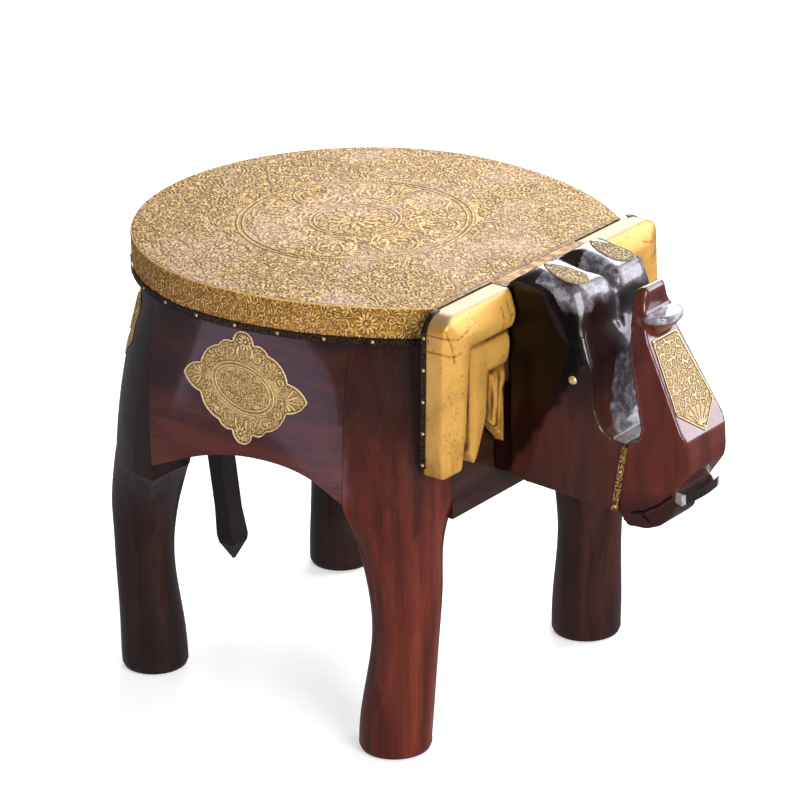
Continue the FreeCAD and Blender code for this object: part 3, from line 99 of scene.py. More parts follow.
evenShade = (0.5, 0.6, 1.0)  # starts above the stool, so nothing gets darker
woods = {
    # sheesham stained dark red-brown and lacquered: faint long grain under a glossy coat;
    # the three heights and the darkness are a painted shade by height: the height in metres from which it turns
    # darker, where it is darkest, and how dark
    "frontLegWood": {"along": 2, "colors": "#3c1307 #5d1f0f #722b15 #8a4122", "paintedShade": (0.19, 0.3, 0.28)},
    # the far front leg and the rear legs with the hips are darker copies of the leg wood: painted shade
    "farLegWood": {"along": 2, "colors": "#200a04 #36150b #451e12 #5a2e1c", "paintedShade": (0.19, 0.3, 0.4)},
    "rearLegWood": {"along": 2, "colors": "#150804 #240f08 #331810 #4a2a18", "paintedShade": (0.2, 0.34, 0.6)},
    "flankWood": {"along": 1, "colors": "#3a1408 #5a2210 #702e18 #8a4426", "paintedShade": (0.225, 0.29, 0.35)},
    "headWood": {"along": 2, "colors": "#30140c #401c12 #4b2117 #5a2c1e", "paintedShade": (0.27, 0.325, 0.22)},
    "trunkWood": {"along": 2, "colors": "#3a1208 #4f1a0f #5c2013 #6c2c1a", "paintedShade": (0.235, 0.21, 0.42)},
    "boardWood": {"along": 0, "colors": "#22120b #301a11 #3f2318 #4e2d1f", "paintedShade": evenShade},
    "darkWood": {"along": 2, "colors": "#0e0705 #180c08 #22130c #301b11", "paintedShade": evenShade},
    # beech, left raw
    "dowelWood": {"along": 2, "colors": "#8a6a44 #a98558 #bd9a6a #c9a878", "paintedShade": evenShade,
                  "at": (0.2, 0.5, 0.75, 0.95), "coat": 0.0},
}
grain = {"width": 0.0017, "length": 0.09, "streakWidth": 0.014, "streakLength": 0.22, "bump": 0.00003,
         "at": (0.2, 0.45, 0.7, 0.92)}
# the lacquer also gives the tone, coat and gloss under full painted shade, and the pale scratched colours of the
# painted highlights
lacquer = {"IOR": 1.4, "coat": 0.7, "shadedCoat": 0.1, "coatRoughness": 0.1, "gloss": 0.5, "shadedGloss": 0.12,
           "shadedTone": 0.12, "roughLow": 0.3, "roughHigh": 0.46, "waveDepth": 0.001,
           "scratchedSheen": ((0.36, "#4a454c"), (0.5, "#7d7984"), (0.6, "#c4c1cc"))}


def grainScale(axis, width, length):
    scale = [1 / width] * 3
    scale[axis] = 1 / length
    return scale


def makeWood(name, look):
    material, tree = newMaterial(name)
    where = addNode(tree, "TexCoord").outputs["Object"]
    fineMap = addNode(tree, "Mapping", {
        "Vector": where, "Scale": grainScale(look["along"], grain["width"], grain["length"])})
    broadMap = addNode(tree, "Mapping", {
        "Vector": where, "Scale": grainScale(look["along"], grain["streakWidth"], grain["streakLength"])})
    lines = addNode(tree, "TexNoise", {"Vector": fineMap, "Scale": 1.0, "Detail": 3.0})
    streaks = addNode(tree, "TexNoise", {"Vector": broadMap, "Scale": 1.0, "Detail": 2.0, "Distortion": 0.5})
    both = addNode(tree, "Mix", {"Factor": 0.3, "A": streaks, "B": lines}, data_type="FLOAT")
    spread = addNode(tree, "MapRange", {"Value": both, "From Min": 0.2, "From Max": 0.8})
    stops = tuple(zip(look.get("at", grain["at"]), look["colors"].split()))
    color = addNode(tree, "ValToRGB", {"Fac": spread}, stops=stops)
    parts = addNode(tree, "SeparateXYZ", {"Vector": where})
    # painted shade by height, as the wood's entry gives it
    low, high, dark = look["paintedShade"]
    paintedShade = addNode(tree, "MapRange", {
        "Value": parts.outputs["Z"], "From Min": low, "From Max": high, "To Min": 1.0, "To Max": dark},
        interpolation_type="SMOOTHSTEP")
    # the light-and-wear attribute: above 0 a painted highlight and reflection, pale and scratched, partly rubbed
    # wear; below 0 painted shade, darker and with less coat and gloss
    worn = addNode(tree, "Attribute", attribute_name="worn").outputs["Fac"]
    byPaintedShade = {"Value": worn, "From Min": -1.0, "From Max": 0.0}
    shadeDarkening = addNode(tree, "MapRange", {**byPaintedShade, "To Min": lacquer["shadedTone"]})
    coat = addNode(tree, "MapRange", {
        **byPaintedShade, "To Min": lacquer["shadedCoat"], "To Max": look.get("coat", lacquer["coat"])})
    gloss = addNode(tree, "MapRange", {**byPaintedShade, "To Min": lacquer["shadedGloss"], "To Max": lacquer["gloss"]})
    depth = addNode(tree, "Math", {0: paintedShade, 1: shadeDarkening}, operation="MULTIPLY")
    shaded = addNode(tree, "VectorMath", {0: color, "Scale": depth}, operation="SCALE")
    scratches = addNode(tree, "TexNoise", {"Vector": where, "Scale": 110.0, "Detail": 7.0, "Roughness": 0.7})
    pale = addNode(tree, "ValToRGB", {"Fac": scratches}, stops=lacquer["scratchedSheen"])
    highlightedAndRubbed = addNode(tree, "Mix", {0: worn, 6: shaded, 7: pale}, data_type="RGBA")
    soft = addNode(tree, "TexNoise", {"Vector": where, "Scale": 45.0, "Detail": 4.0})
    rough = addNode(tree, "MapRange", {
        "Value": soft, "From Min": 0.3, "From Max": 0.7,
        "To Min": lacquer["roughLow"], "To Max": lacquer["roughHigh"]})
    bump = addNode(tree, "Bump", {"Strength": 0.4, "Distance": grain["bump"], "Height": lines})
    waves = addNode(tree, "TexNoise", {"Vector": where, "Scale": 22.0, "Detail": 1.0})
    handWork = addNode(tree, "Bump", {
        "Strength": 0.3, "Distance": lacquer["waveDepth"], "Height": waves, "Normal": bump})
    addSurface(tree, {
        "Base Color": highlightedAndRubbed.outputs[2], "Roughness": rough, "Normal": handWork,
        "Coat Normal": handWork, "Coat Weight": coat, "Specular IOR Level": gloss,
        "IOR": lacquer["IOR"], "Coat Roughness": lacquer["coatRoughness"]})
    return material


plainSheet = {"veinScale": 260.0, "veinShare": 0.0, "pitShare": 0.0, "topSheenShare": 0.0, "roughLow": 0.6,
              "metalLow": 0.2}
brasses = {
    # thin sheet chased from behind and rubbed with dark wax, which stays in the hollows
    "seatBrass": {**plainSheet, "stops": ((0.0, "#30200a"), (0.2, "#805c1a"), (0.45, "#be9342"), (1.0, "#e4bf74")),
                  "patch": "#b99882", "patchShare": 0.55, "patchScale": 13.0, "gritScale": 700.0, "gritShare": 0.12,
                  "veinScale": 150.0, "veinShare": 0.5, "roughHigh": 0.4, "metalHigh": 0.4, "bump": 0.0003},
    "rimBrass": {**plainSheet, "stops": ((0.0, "#1f0e02"), (0.25, "#8a5a1c"), (0.5, "#dca84c"), (1.0, "#ffe09a")),
                 "patch": "#c98f5a", "patchShare": 0.3, "patchScale": 20.0, "gritScale": 900.0, "gritShare": 0.12,
                 "veinScale": 190.0, "veinShare": 0.4, "roughHigh": 0.36, "metalHigh": 0.42, "bump": 0.0005},
    "plateBrass": {**plainSheet, "stops": ((0.0, "#261604"), (0.25, "#665026"), (0.5, "#99814f"), (1.0, "#c2b088")),
                   "patch": "#b8926c", "patchShare": 0.3, "patchScale": 30.0, "gritScale": 1200.0,
                   "gritShare": 0.1, "roughHigh": 0.38, "metalLow": 0.15, "metalHigh": 0.3, "bump": 0.0003},
    "medallionBrass": {**plainSheet, "patch": "#dcb284", "patchShare": 0.3, "patchScale": 30.0,
                       "stops": ((0.0, "#24140a"), (0.2, "#886428"), (0.45, "#e8be72"), (1.0, "#fff2cc")),
                       "gritScale": 1200.0, "gritShare": 0.08, "veinScale": 330.0, "veinShare": 0.42,
                       "roughHigh": 0.34, "metalLow": 0.15, "metalHigh": 0.3, "bump": 0.0004},
    # smooth sheet pressed over the carving, aged, with dark pits and a painted sheen on the top
    "earBrass": {**plainSheet, "stops": ((0.0, "#1d0c02"), (0.3, "#6b4012"), (0.6, "#c68d38"), (1.0, "#e6b45c")),
                 "patch": "#ad7a34", "patchShare": 0.45, "patchScale": 34.0, "gritScale": 160.0, "gritShare": 0.18,
                 "pitShare": 0.85, "topSheenShare": 0.9, "roughLow": 0.55, "roughHigh": 0.36, "metalHigh": 0.35,
                 "bump": 0.0002},
}
# top: the colour of the painted top sheen; pit: the dark pits' colour and scale
topSheenAndPits = {"top": "#ae9876", "pit": "#3c2610", "pitScale": (850.0, 850.0, 300.0)}


def makeBrass(name, look):
    # the "relief" attribute is 0 in the dark hollows and 1 on the bright raised work
    material, tree = newMaterial(name)
    where = addNode(tree, "TexCoord").outputs["Object"]
    relief = addNode(tree, "Attribute", attribute_name="relief")
    grit = addNode(tree, "TexNoise", {"Vector": where, "Scale": look["gritScale"], "Detail": 2.0})
    gritty = addNode(tree, "Mix", {
        "Factor": look["gritShare"], "A": relief.outputs["Fac"], "B": grit}, data_type="FLOAT")
    # chased veins: thin crooked lines round small cells
    bent = addNode(tree, "TexNoise", {"Vector": where, "Scale": look["veinScale"] * 0.9, "Detail": 1.0})
    shifted = addNode(tree, "VectorMath", {
        0: bent.outputs["Color"], 1: (0.006, 0.006, 0.006), 2: where}, operation="MULTIPLY_ADD")
    veins = addNode(tree, "TexVoronoi", {
        "Vector": shifted, "Scale": look["veinScale"]}, feature="DISTANCE_TO_EDGE")
    line = addNode(tree, "MapRange", {
        "Value": veins, "From Min": 0.03, "From Max": 0.16, "To Min": 1.0 - look["veinShare"]})
    tone = addNode(tree, "Math", {0: gritty, 1: line}, operation="MULTIPLY")
    color = addNode(tree, "ValToRGB", {"Fac": tone}, stops=look["stops"])
    patches = addNode(tree, "TexNoise", {"Vector": where, "Scale": look["patchScale"], "Detail": 3.0})
    patchMask = addNode(tree, "MapRange", {
        "Value": patches, "From Min": 0.48, "From Max": 0.68, "To Max": look["patchShare"]})
    tinted = addNode(tree, "Mix", {0: patchMask, 6: color, 7: hexColor(look["patch"])}, data_type="RGBA")
    # painted sheen: faces that look up are mixed towards a duller, greyer colour, as far as their share says,
    # standing in for the top light's pale sheen
    facing = addNode(tree, "SeparateXYZ", {"Vector": addNode(tree, "NewGeometry").outputs["Normal"]})
    topSheenMask = addNode(tree, "MapRange", {
        "Value": facing.outputs["Z"], "From Min": 0.5, "From Max": 0.95, "To Max": look["topSheenShare"]})
    withTopSheen = addNode(tree, "Mix", {
        0: topSheenMask, 6: tinted.outputs[2], 7: hexColor(topSheenAndPits["top"])}, data_type="RGBA")
    # pits: dark specks in upright rows, only here and there
    pitMap = addNode(tree, "Mapping", {"Vector": where, "Scale": topSheenAndPits["pitScale"]})
    pitNoise = addNode(tree, "TexNoise", {"Vector": pitMap, "Scale": 1.0, "Detail": 2.0})
    pitSpots = addNode(tree, "MapRange", {"Value": pitNoise, "From Min": 0.6, "From Max": 0.7})
    pitZone = addNode(tree, "TexNoise", {"Vector": where, "Scale": 70.0, "Detail": 1.0})
    pitArea = addNode(tree, "MapRange", {
        "Value": pitZone, "From Min": 0.46, "From Max": 0.6, "To Max": look["pitShare"]})
    pits = addNode(tree, "Math", {0: pitSpots, 1: pitArea}, operation="MULTIPLY")
    pitted = addNode(tree, "Mix", {
        0: pits, 6: withTopSheen.outputs[2], 7: hexColor(topSheenAndPits["pit"])}, data_type="RGBA")
    rough = addNode(tree, "MapRange", {"Value": tone, "To Min": look["roughLow"], "To Max": look["roughHigh"]})
    metal = addNode(tree, "MapRange", {"Value": tone, "To Min": look["metalLow"], "To Max": look["metalHigh"]})
    bump = addNode(tree, "Bump", {"Strength": 0.6, "Distance": look["bump"], "Height": tone})
    addSurface(tree, {"Base Color": pitted.outputs[2], "Roughness": rough, "Metallic": metal, "Normal": bump})
    return material


metals = {
    # small trim, its tarnish in soft spots: dark and bright colour, least roughness, spots to the metre
    "pinBrass": ("#a37c3c", "#f4dfa6", 0.25, 700.0), "chordBrass": ("#4a3210", "#94703a", 0.45, 300.0),
    "bridgeBrass": ("#5a3a14", "#b08443", 0.42, 120.0), "whiteMetal": ("#9a9a98", "#e6e6e2", 0.2, 300.0),
    "screwSteel": ("#6f6f6f", "#a5a5a5", 0.35, 300.0),
}
strips = {
    # thin strip with stamped beads over a tarnished ground: dark and bright colour, size of a bead
    "stripBrass": ("#120a05", "#4a3216", 0.0016), "cheekBrass": ("#553816", "#c99f58", 0.0017),
}


def makePlainMetal(name, low, high, rough, scale):
    material, tree = newMaterial(name)
    where = addNode(tree, "TexCoord").outputs["Object"]
    spots = addNode(tree, "TexNoise", {"Vector": where, "Scale": scale, "Detail": 3.0})
    color = addNode(tree, "ValToRGB", {"Fac": spots}, stops=((0.38, low), (0.62, high)))
    roughness = addNode(tree, "MapRange", {"Value": spots, "To Min": rough + 0.15, "To Max": rough})
    bump = addNode(tree, "Bump", {"Strength": 0.4, "Distance": 0.0002, "Height": spots})
    addSurface(tree, {"Base Color": color, "Roughness": roughness, "Normal": bump, "Metallic": 0.5})
    return material


def makeBeadedStrip(name, low, high, bead):
    material, tree = newMaterial(name)
    where = addNode(tree, "TexCoord").outputs["Object"]
    beads = addNode(tree, "TexVoronoi", {"Vector": where, "Scale": 1 / bead}, feature="F1")
    color = addNode(tree, "ValToRGB", {"Fac": beads}, stops=((0.25, high), (0.65, low)))
    bump = addNode(tree, "Bump", {"Strength": 0.7, "Distance": 0.0004, "Height": beads}, invert=True)
    addSurface(tree, {"Base Color": color, "Normal": bump, "Metallic": 0.4, "Roughness": 0.4})
    return material


materials = {name: makeWood(name, look) for name, look in woods.items()}
materials.update({name: makeBrass(name, look) for name, look in brasses.items()})
materials.update({name: makePlainMetal(name, *look) for name, look in metals.items()})
materials.update({name: makeBeadedStrip(name, *look) for name, look in strips.items()})
print("materials made:", len(materials))

finishes = {
    "frontLegWood": ("front_leg",), "farLegWood": ("front_leg_left",), "rearLegWood": ("rear_leg", "hip_block"),
    "flankWood": ("flank_panel",), "headWood": ("head_block",), "trunkWood": ("trunk_block",),
    "boardWood": ("chest_panel", "rear_panel", "ear_board", "seat_board"), "darkWood": ("tail", "tusk_crescent"),
    "dowelWood": ("seat_dowels", "leg_dowels", "head_dowels", "jaw_dowels", "ear_dowels", "tail_dowel"),
    "seatBrass": ("seat_top_sheet",), "rimBrass": ("seat_rim_band",), "plateBrass": ("trunk_plate", "dome_leaf"),
    "medallionBrass": ("flank_medallion", "rump_ornament"), "earBrass": ("ear_sheet",),
    "bridgeBrass": ("bridge_sheet",), "stripBrass": ("rim_edge_strip", "ear_edge_strip"),
    "cheekBrass": ("cheek_strip",), "chordBrass": ("seat_chord_strip",), "whiteMetal": ("tusk_tip",),
    "screwSteel": ("ear_board_screws",),
    "pinBrass": ("rim_pins", "ear_pins", "cheek_pins", "trunk_plate_pins", "eye_stud"),
}


def finishFor(node):
    # the longest beginning that fits the node's name wins
    fitting = [(len(start), finish) for finish, starts in finishes.items() for start in starts
               if node.startswith(start)]
    return max(fitting)[1]


for nodeName, cadObject in nodes.items():
    cadObject.data.materials.clear()
    cadObject.data.materials.append(materials[finishFor(nodeName)])


# meshes

def addObject(name, data):
    added = bpy.data.objects.new(name, data)
    bpy.context.collection.objects.link(added)
    return added


def toMesh(form, name):
    mesh = bpy.data.meshes.new(name)
    form.to_mesh(mesh)
    form.free()
    return mesh


def finishPiece(form, name, materialName, node):
    for face in form.faces:
        face.smooth = True
    mesh = toMesh(form, name)
    mesh.materials.append(materials[materialName])
    piece = addObject(name, mesh)
    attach(piece, "root")
    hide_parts(node)


def sideName(side):
    return "right" if side < 0 else "left"


def surfaceTree(node):
    form = bmesh.new()
    form.from_mesh(nodes[node].data)
    tree = BVHTree.FromBMesh(form)
    form.free()
    return tree


def keepLargest(form):
    # drops the small closed skins that bores leave inside a block
    seen = set()
    groups = []
    for start in form.verts:
        if start in seen:
            continue
        seen.add(start)
        group, waiting = [], [start]
        while waiting:
            vertex = waiting.pop()
            group.append(vertex)
            for edge in vertex.link_edges:
                other = edge.other_vert(vertex)
                if other not in seen:
                    seen.add(other)
                    waiting.append(other)
        groups.append(group)
    groups.sort(key=len)
    for group in groups[:-1]:
        bmesh.ops.delete(form, geom=group, context="VERTS")


def carvingBlock(names, voxel):
    # an even skin over the CAD blocks, fine enough to carve
    form = bmesh.new()
    for node in names:
        form.from_mesh(nodes[node].data)
    bmesh.ops.remove_doubles(form, verts=form.verts, dist=1e-6)
    block = addObject("block", toMesh(form, "block"))
    remesh = block.modifiers.new("skin", "REMESH")
    remesh.mode = "VOXEL"
    remesh.voxel_size = voxel
    bpy.context.view_layer.update()
    skin = bpy.data.meshes.new_from_object(block.evaluated_get(bpy.context.evaluated_depsgraph_get()))
    bpy.data.objects.remove(block)
    form = bmesh.new()
    form.from_mesh(skin)
    keepLargest(form)
    return form


def soften(form, steps, verts=None):
    for step in range(steps):
        bmesh.ops.smooth_vert(form, verts=verts or form.verts, factor=0.5,
                              use_axis_x=True, use_axis_y=True, use_axis_z=True)


def chosenVerts(form, chosen):
    return [vertex for vertex, good in zip(form.verts, chosen) if good]


def points(form):
    return np.array([v.co for v in form.verts])


def localPlaces(form):
    where = points(form) * 1000
    return where[:, 0], where[:, 1] - shift, where[:, 2]


def ripple(where, scale):
    return np.array([noise.noise(Vector(p * scale)) for p in where])


def lineDistance(where, line):
    # distance of each point from a line through the given places, and how far along it the nearest place is
    best = np.full(len(where), 1e9)
    along = np.zeros(len(where))
    for index, (start, end) in enumerate(zip(line[:-1], line[1:])):
        span = np.array(end) - np.array(start)
        share = np.clip((where - np.array(start)) @ span / (span @ span), 0, 1)
        distance = np.linalg.norm(where - np.array(start) - share[:, None] * span, axis=1)
        nearer = distance < best
        best[nearer] = distance[nearer]
        along[nearer] = index + share[nearer]
    return best, along / (len(line) - 1)


def carveLine(form, cut, side=1):
    # endShare: how much of the cut's width and depth is left at the line's far end
    where = points(form)
    distance, along = lineDistance(where, [place(side * x, y, z) for x, y, z in cut["line"]])
    shrink = 1 + (cut["endShare"] - 1) * along
    taper = np.clip(4 * np.minimum(along + 0.12, 1.12 - along), 0.2, 1) * shrink
    profile = np.exp(-(distance / (cut["width"] / 1000 * shrink)) ** 2)
    form.normal_update()
    for vertex, amount in zip(form.verts, cut["depth"] / 1000 * taper * profile):
        if amount > 1e-7:
            vertex.co -= vertex.normal * float(amount)
    # painted shade along the cut, as dark as its dark entry says
    store = form.verts.layers.float["worn"]
    for vertex, amount in zip(form.verts, profile):
        if amount > 0.3:
            vertex[store] = min(vertex[store], -cut["dark"] * float(min(1, amount * 1.4)))


def finishCarving(form, name, materialName, node):
    bmesh.ops.recalc_face_normals(form, faces=form.faces)
    finishPiece(form, name, materialName, node)


# embossed work: dabs pressed into a sheet

def newCanvas(left, bottom, width, height, pitch):
    columns = int(round(width / pitch)) + 1
    rows = int(round(height / pitch)) + 1
    return {"left": left, "bottom": bottom, "pitch": pitch, "raised": np.zeros((rows, columns)),
            "u": left + pitch * np.arange(columns), "v": bottom + pitch * np.arange(rows)}


def middleCanvas(width, height, pitch):
    return newCanvas(-width / 2, -height / 2, width, height, pitch)


def press(canvas, dabs):
    u, v, radius, height = (np.concatenate(part) for part in zip(*dabs))
    pitch = canvas["pitch"]
    column = (u - canvas["left"]) / pitch
    row = (v - canvas["bottom"]) / pitch
    rows, columns = canvas["raised"].shape
    reach = int(radius.max() / pitch) + 1
    for i in range(-reach, reach + 1):
        for j in range(-reach, reach + 1):
            c = np.rint(column).astype(int) + i
            r = np.rint(row).astype(int) + j
            away = np.hypot(c - column, r - row) * pitch / radius
            good = (away < 1) & (c >= 0) & (r >= 0) & (c < columns) & (r < rows)
            np.maximum.at(canvas["raised"], (r[good], c[good]), (height * (1 - away ** 2))[good])


def dab(u, v, radius, height=1.0):
    u = np.atleast_1d(np.asarray(u, float))
    return (u, *(np.broadcast_to(np.asarray(part, float), u.shape) for part in (v, radius, height)))


def spiral(u, v, size, turns, phase, side, width):
    t = np.linspace(0, 1, 26)
    angle = phase + side * turns * 2 * math.pi * t
    reach = size * (1 - 0.85 * t)
    return dab(u + reach * np.cos(angle), v + reach * np.sin(angle), width * (1 - 0.35 * t))


def leaf(u, v, angle, length, width, bend=0.0):
    t = np.linspace(0.02, 0.98, 16)
    turn = angle + bend * (t - 0.5)
    step = length / 16
    return dab(u + np.cumsum(np.cos(turn)) * step, v + np.cumsum(np.sin(turn)) * step,
               np.maximum(width * np.sin(math.pi * t ** 0.8) ** 0.8, width * 0.3))


def ring(u, v, radius, width, height=1.0, flat=1.0, tilt=0.0, start=0.0, end=2 * math.pi):
    t = np.linspace(start, end, int(abs(end - start) * radius / width * 2.5) + 8)
    across, up = radius * np.cos(t), radius * flat * np.sin(t)
    return dab(u + across * math.cos(tilt) - up * math.sin(tilt),
               v + across * math.sin(tilt) + up * math.cos(tilt), width, height)


def rosette(u, v, radius, petals, phase=0.0):
    work = [dab([u], [v], radius * 0.2)]
    for k in range(petals):
        angle = phase + 2 * math.pi * k / petals
        work.append(leaf(u + math.cos(angle) * radius * 0.3, v + math.sin(angle) * radius * 0.3, angle,
                         radius * 0.7, radius * 0.62 * math.sin(math.pi / petals)))
    return work


def fan(u, v, angle, length, leaves, spread):
    work = []
    for k in range(leaves):
        share = k / (leaves - 1) - 0.5
        work.append(leaf(u, v, angle + spread * share, length * (1 - 0.5 * share ** 2), length * 0.075,
                         0.5 * share))
    return work


def flowerField(inside, box, spacing, seed, width=0.13):
    # stems, curled leaves and small flowers, packed as a chaser packs a ground
    draw = np.random.default_rng(seed)
    work = []
    left, right, bottom, top = box
    for row, v in enumerate(np.arange(bottom, top, spacing * 0.87)):
        for u in np.arange(left + (row % 2) * spacing / 2, right, spacing):
            a = u + draw.uniform(-0.2, 0.2) * spacing
            b = v + draw.uniform(-0.2, 0.2) * spacing
            kind, turn, size = draw.random(), draw.uniform(0, 2 * math.pi), spacing * draw.uniform(0.44, 0.56)
            if not inside(a, b):
                continue
            thin = spacing * width
            across, up = size * math.cos(turn), size * math.sin(turn)
            if kind < 0.4:
                work.append(spiral(a, b, size, 1.1, turn, 1 if kind < 0.2 else -1, thin))
                work.append(leaf(a + across, b + up, turn + 2.2, size * 1.1, thin, 1.2))
            elif kind < 0.62:
                work += fan(a - across, b - up, turn, size * 1.9, 3, 1.7)
            elif kind < 0.82:
                for k in range(3):
                    off = (k - 1) * thin * 2.6
                    work.append(leaf(a - across - math.sin(turn) * off, b - up + math.cos(turn) * off, turn,
                                     size * 1.8, thin, 1.3))
            else:
                work += rosette(a, b, size, int(draw.integers(5, 8)), turn)
    return work


nearSteps = ((1, 0), (-1, 0), (0, 1), (0, -1))


def widened(mask, steps):
    # the mask together with its copies, moved by each step of rows and columns
    room = 2
    padded = np.pad(mask, room)
    rows, columns = mask.shape
    wide = mask.copy()
    for down, along in steps:
        wide |= padded[room - down:room - down + rows, room - along:room - along + columns]
    return wide


def workTone(canvas, ground, bright=0.65):
    # bright on the raised work, dark along its outlines, in between on the ground
    raised = canvas["raised"]
    solid = raised > 0.4
    tone = np.where(solid, 0.35 + bright * np.clip(raised, 0, 1), ground)
    tone[widened(solid, nearSteps) & ~solid] = 0.02
    return tone


def fieldSheet(grid, raised, tone, look, name, materialName, node):
    # grid: a 3D place and an outward direction for each canvas point, nan where there is no sheet
    rows, columns = raised.shape
    form = bmesh.new()
    bmesh.ops.create_grid(form, x_segments=columns - 1, y_segments=rows - 1, size=0.5)
    form.verts.ensure_lookup_table()
    places, outward = grid
    lift = look["relief"]
    store = form.verts.layers.float.new("relief")
    missing = []
    order = np.lexsort(([v.co.x for v in form.verts], np.round([v.co.y for v in form.verts], 6)))
    for count, index in enumerate(order):
        vertex = form.verts[int(index)]
        row, column = divmod(count, columns)
        spot = places[row, column]
        if math.isnan(spot[0]):
            missing.append(vertex)
            continue
        vertex.co = Vector(spot) + Vector(outward[row, column]) * (lift * raised[row, column] - lift)
        vertex[store] = tone[row, column]
    bmesh.ops.delete(form, geom=missing, context="VERTS")
    bmesh.ops.delete(form, geom=[v for v in form.verts if not v.link_faces], context="VERTS")
    soften(form, 3, [v for v in form.verts if v.is_boundary])
    form.normal_update()
    # a skirt round the outline, down into the CAD sheet's place
    directions = {}
    made = bmesh.ops.extrude_edge_only(form, edges=[e for e in form.edges if e.is_boundary])
    for vertex in [g for g in made["geom"] if isinstance(g, bmesh.types.BMVert)]:
        source = [e.other_vert(vertex) for e in vertex.link_edges if e.other_vert(vertex).co == vertex.co]
        normal = source[0].normal if source else vertex.normal
        directions[vertex] = normal.copy()
    for vertex, normal in directions.items():
        vertex.co -= normal * look["skirt"]
        vertex[store] = 0.1
    finishPiece(form, name, materialName, node)


def emptyGrid(canvas):
    shape = (*canvas["raised"].shape, 3)
    return np.full(shape, np.nan), np.zeros(shape)


def castGrid(canvas, node, middle, across, up):
    # drops the canvas on a CAD sheet, looking at it square on
    tree = surfaceTree(node)
    facing = across.cross(up).normalized()
    reach = 0.06
    places, outward = emptyGrid(canvas)
    for row, v in enumerate(canvas["v"]):
        for column, u in enumerate(canvas["u"]):
            start = middle + across * (u / 1000) + up * (v / 1000) + facing * reach
            spot, normal, index, distance = tree.ray_cast(start, -facing, reach * 2)
            if spot is not None and normal.dot(facing) > 0.2:
                places[row, column] = spot
                outward[row, column] = normal
    return places, outward


def edgeDistance(canvas, places):
    # how far inside the sheet's outline each canvas point is, up to a few millimetres
    inside = ~np.isnan(places[:, :, 0])
    distance = np.zeros(inside.shape)
    for step in range(14):
        distance[inside] += canvas["pitch"]
        steps = nearSteps + ((1, 1), (-1, -1)) if step % 2 else nearSteps
        inside = ~widened(~inside, steps)
    return distance


def embossPlate(canvas, look, name, materialName, node, middle, across, up):
    # a plate with a plain raised rim round its outline
    grid = castGrid(canvas, node, middle, across, up)
    edge = edgeDistance(canvas, grid[0])
    raised, tone = np.clip(canvas["raised"], 0, 1), workTone(canvas, look["ground"])
    border = edge < look["rim"]
    line = ~border & (edge < look["rim"] + canvas["pitch"] * 1.6)
    for spots, height, bright in ((border, 0.9, 0.95), (line, 0.1, 0.05)):
        raised[spots] = height
        tone[spots] = bright
    fieldSheet(grid, raised, tone, look, name, materialName, node)


# seat: embossed top and rim

seat = {"height": 380.0, "reach": 183.5, "chord": 169.4, "pitch": 1.15, "relief": 0.0006, "skirt": 0.0006,
        "edgeRound": 2.2, "outerRing": 92.9, "innerRing": 35.1, "centre": (0.0, 1.2), "lobes": 8, "lobesAt": 64,
        "spacing": 8.6, "innerSpacing": 9.5}
rim = {"bottom": 354.5, "middle": 367, "pitch": 0.62, "relief": 0.0006, "skirt": 0.0005, "spacing": 8.2,
       "rosettes": ((12, 9.4), (55, 9.4), (98, 7.4)), "petals": 13, "seams": (116, 172, 240), "border": 1.6}


def rimOutline():
    # distance of the rim band's outer face from the seat's middle, by angle from the front
    tree = surfaceTree("seat_rim_band")
    far = 0.4
    angles, radii = [], []
    for angle in np.radians(np.arange(-179.9, 180, 0.2)):
        out = Vector((math.sin(angle), -math.cos(angle), 0))
        spot, normal, index, distance = tree.ray_cast(place(0, 0, rim["middle"]) + out * far, -out, far)
        if spot is not None:
            angles.append(angle)
            radii.append((far - distance) * 1000)
    return np.array(angles), np.array(radii)


rimAngles, rimRadii = rimOutline()


def cornerDrop(inset):
    # how far the rounded edge falls away at this distance from the outside
    turn = seat["edgeRound"]
    return turn - math.sqrt(max(0, turn ** 2 - (turn - inset) ** 2)) if inset < turn else 0.0


def paintSeat(canvas):
    cu, cv = seat["centre"]
    outer, inner = seat["outerRing"], seat["innerRing"]

    def around(angle, away, aside=0.0):
        return (cu + math.cos(angle) * away - math.sin(angle) * aside,
                cv + math.sin(angle) * away + math.cos(angle) * aside)

    dabs = [ring(cu, cv, outer + 2.2, 1.2), ring(cu, cv, outer - 2.2, 1.2),
            ring(cu, cv, inner + 1.8, 1.1), ring(cu, cv, inner - 1.8, 1.1)]
    dabs += rosette(cu, cv, 20, 12)
    dabs += [ring(*around(a, 26), 4.6, 1.1) for a in np.arange(12) * math.pi / 6]
    for k in range(seat["lobes"]):
        # lobed cartouches with a fan of leaves between the rings
        angle = 2 * math.pi * (k + 0.5) / seat["lobes"]
        dabs.append(ring(*around(angle, seat["lobesAt"]), 22, 1.2, 1.0, 0.8, angle))
        dabs.append(ring(*around(angle, seat["lobesAt"]), 17.5, 1.1, 0.9, 0.76, angle))
        dabs += fan(*around(angle, seat["lobesAt"] - 13), angle, 25, 5, 2.1)
        side = angle + math.pi / seat["lobes"]
        for turn in (1, -1):
            dabs.append(spiral(*around(side, 79, 8 * turn), 7, 1.3, side, turn, 1.4))
            dabs.append(spiral(*around(side, 47, 6 * turn), 5.6, 1.2, side, -turn, 1.3))

    def ground(u, v):
        away = math.hypot(u - cu, v - cv)
        return away > outer + 6 or inner + 5 < away < 43

    box = (-seat["reach"], seat["reach"], -seat["chord"], seat["reach"])
    dabs += flowerField(ground, box, seat["spacing"], 11, 0.15)
    dabs += flowerField(lambda u, v: inner + 5 < math.hypot(u - cu, v - cv) < outer - 6, box,
                        seat["innerSpacing"], 12)
    press(canvas, dabs)


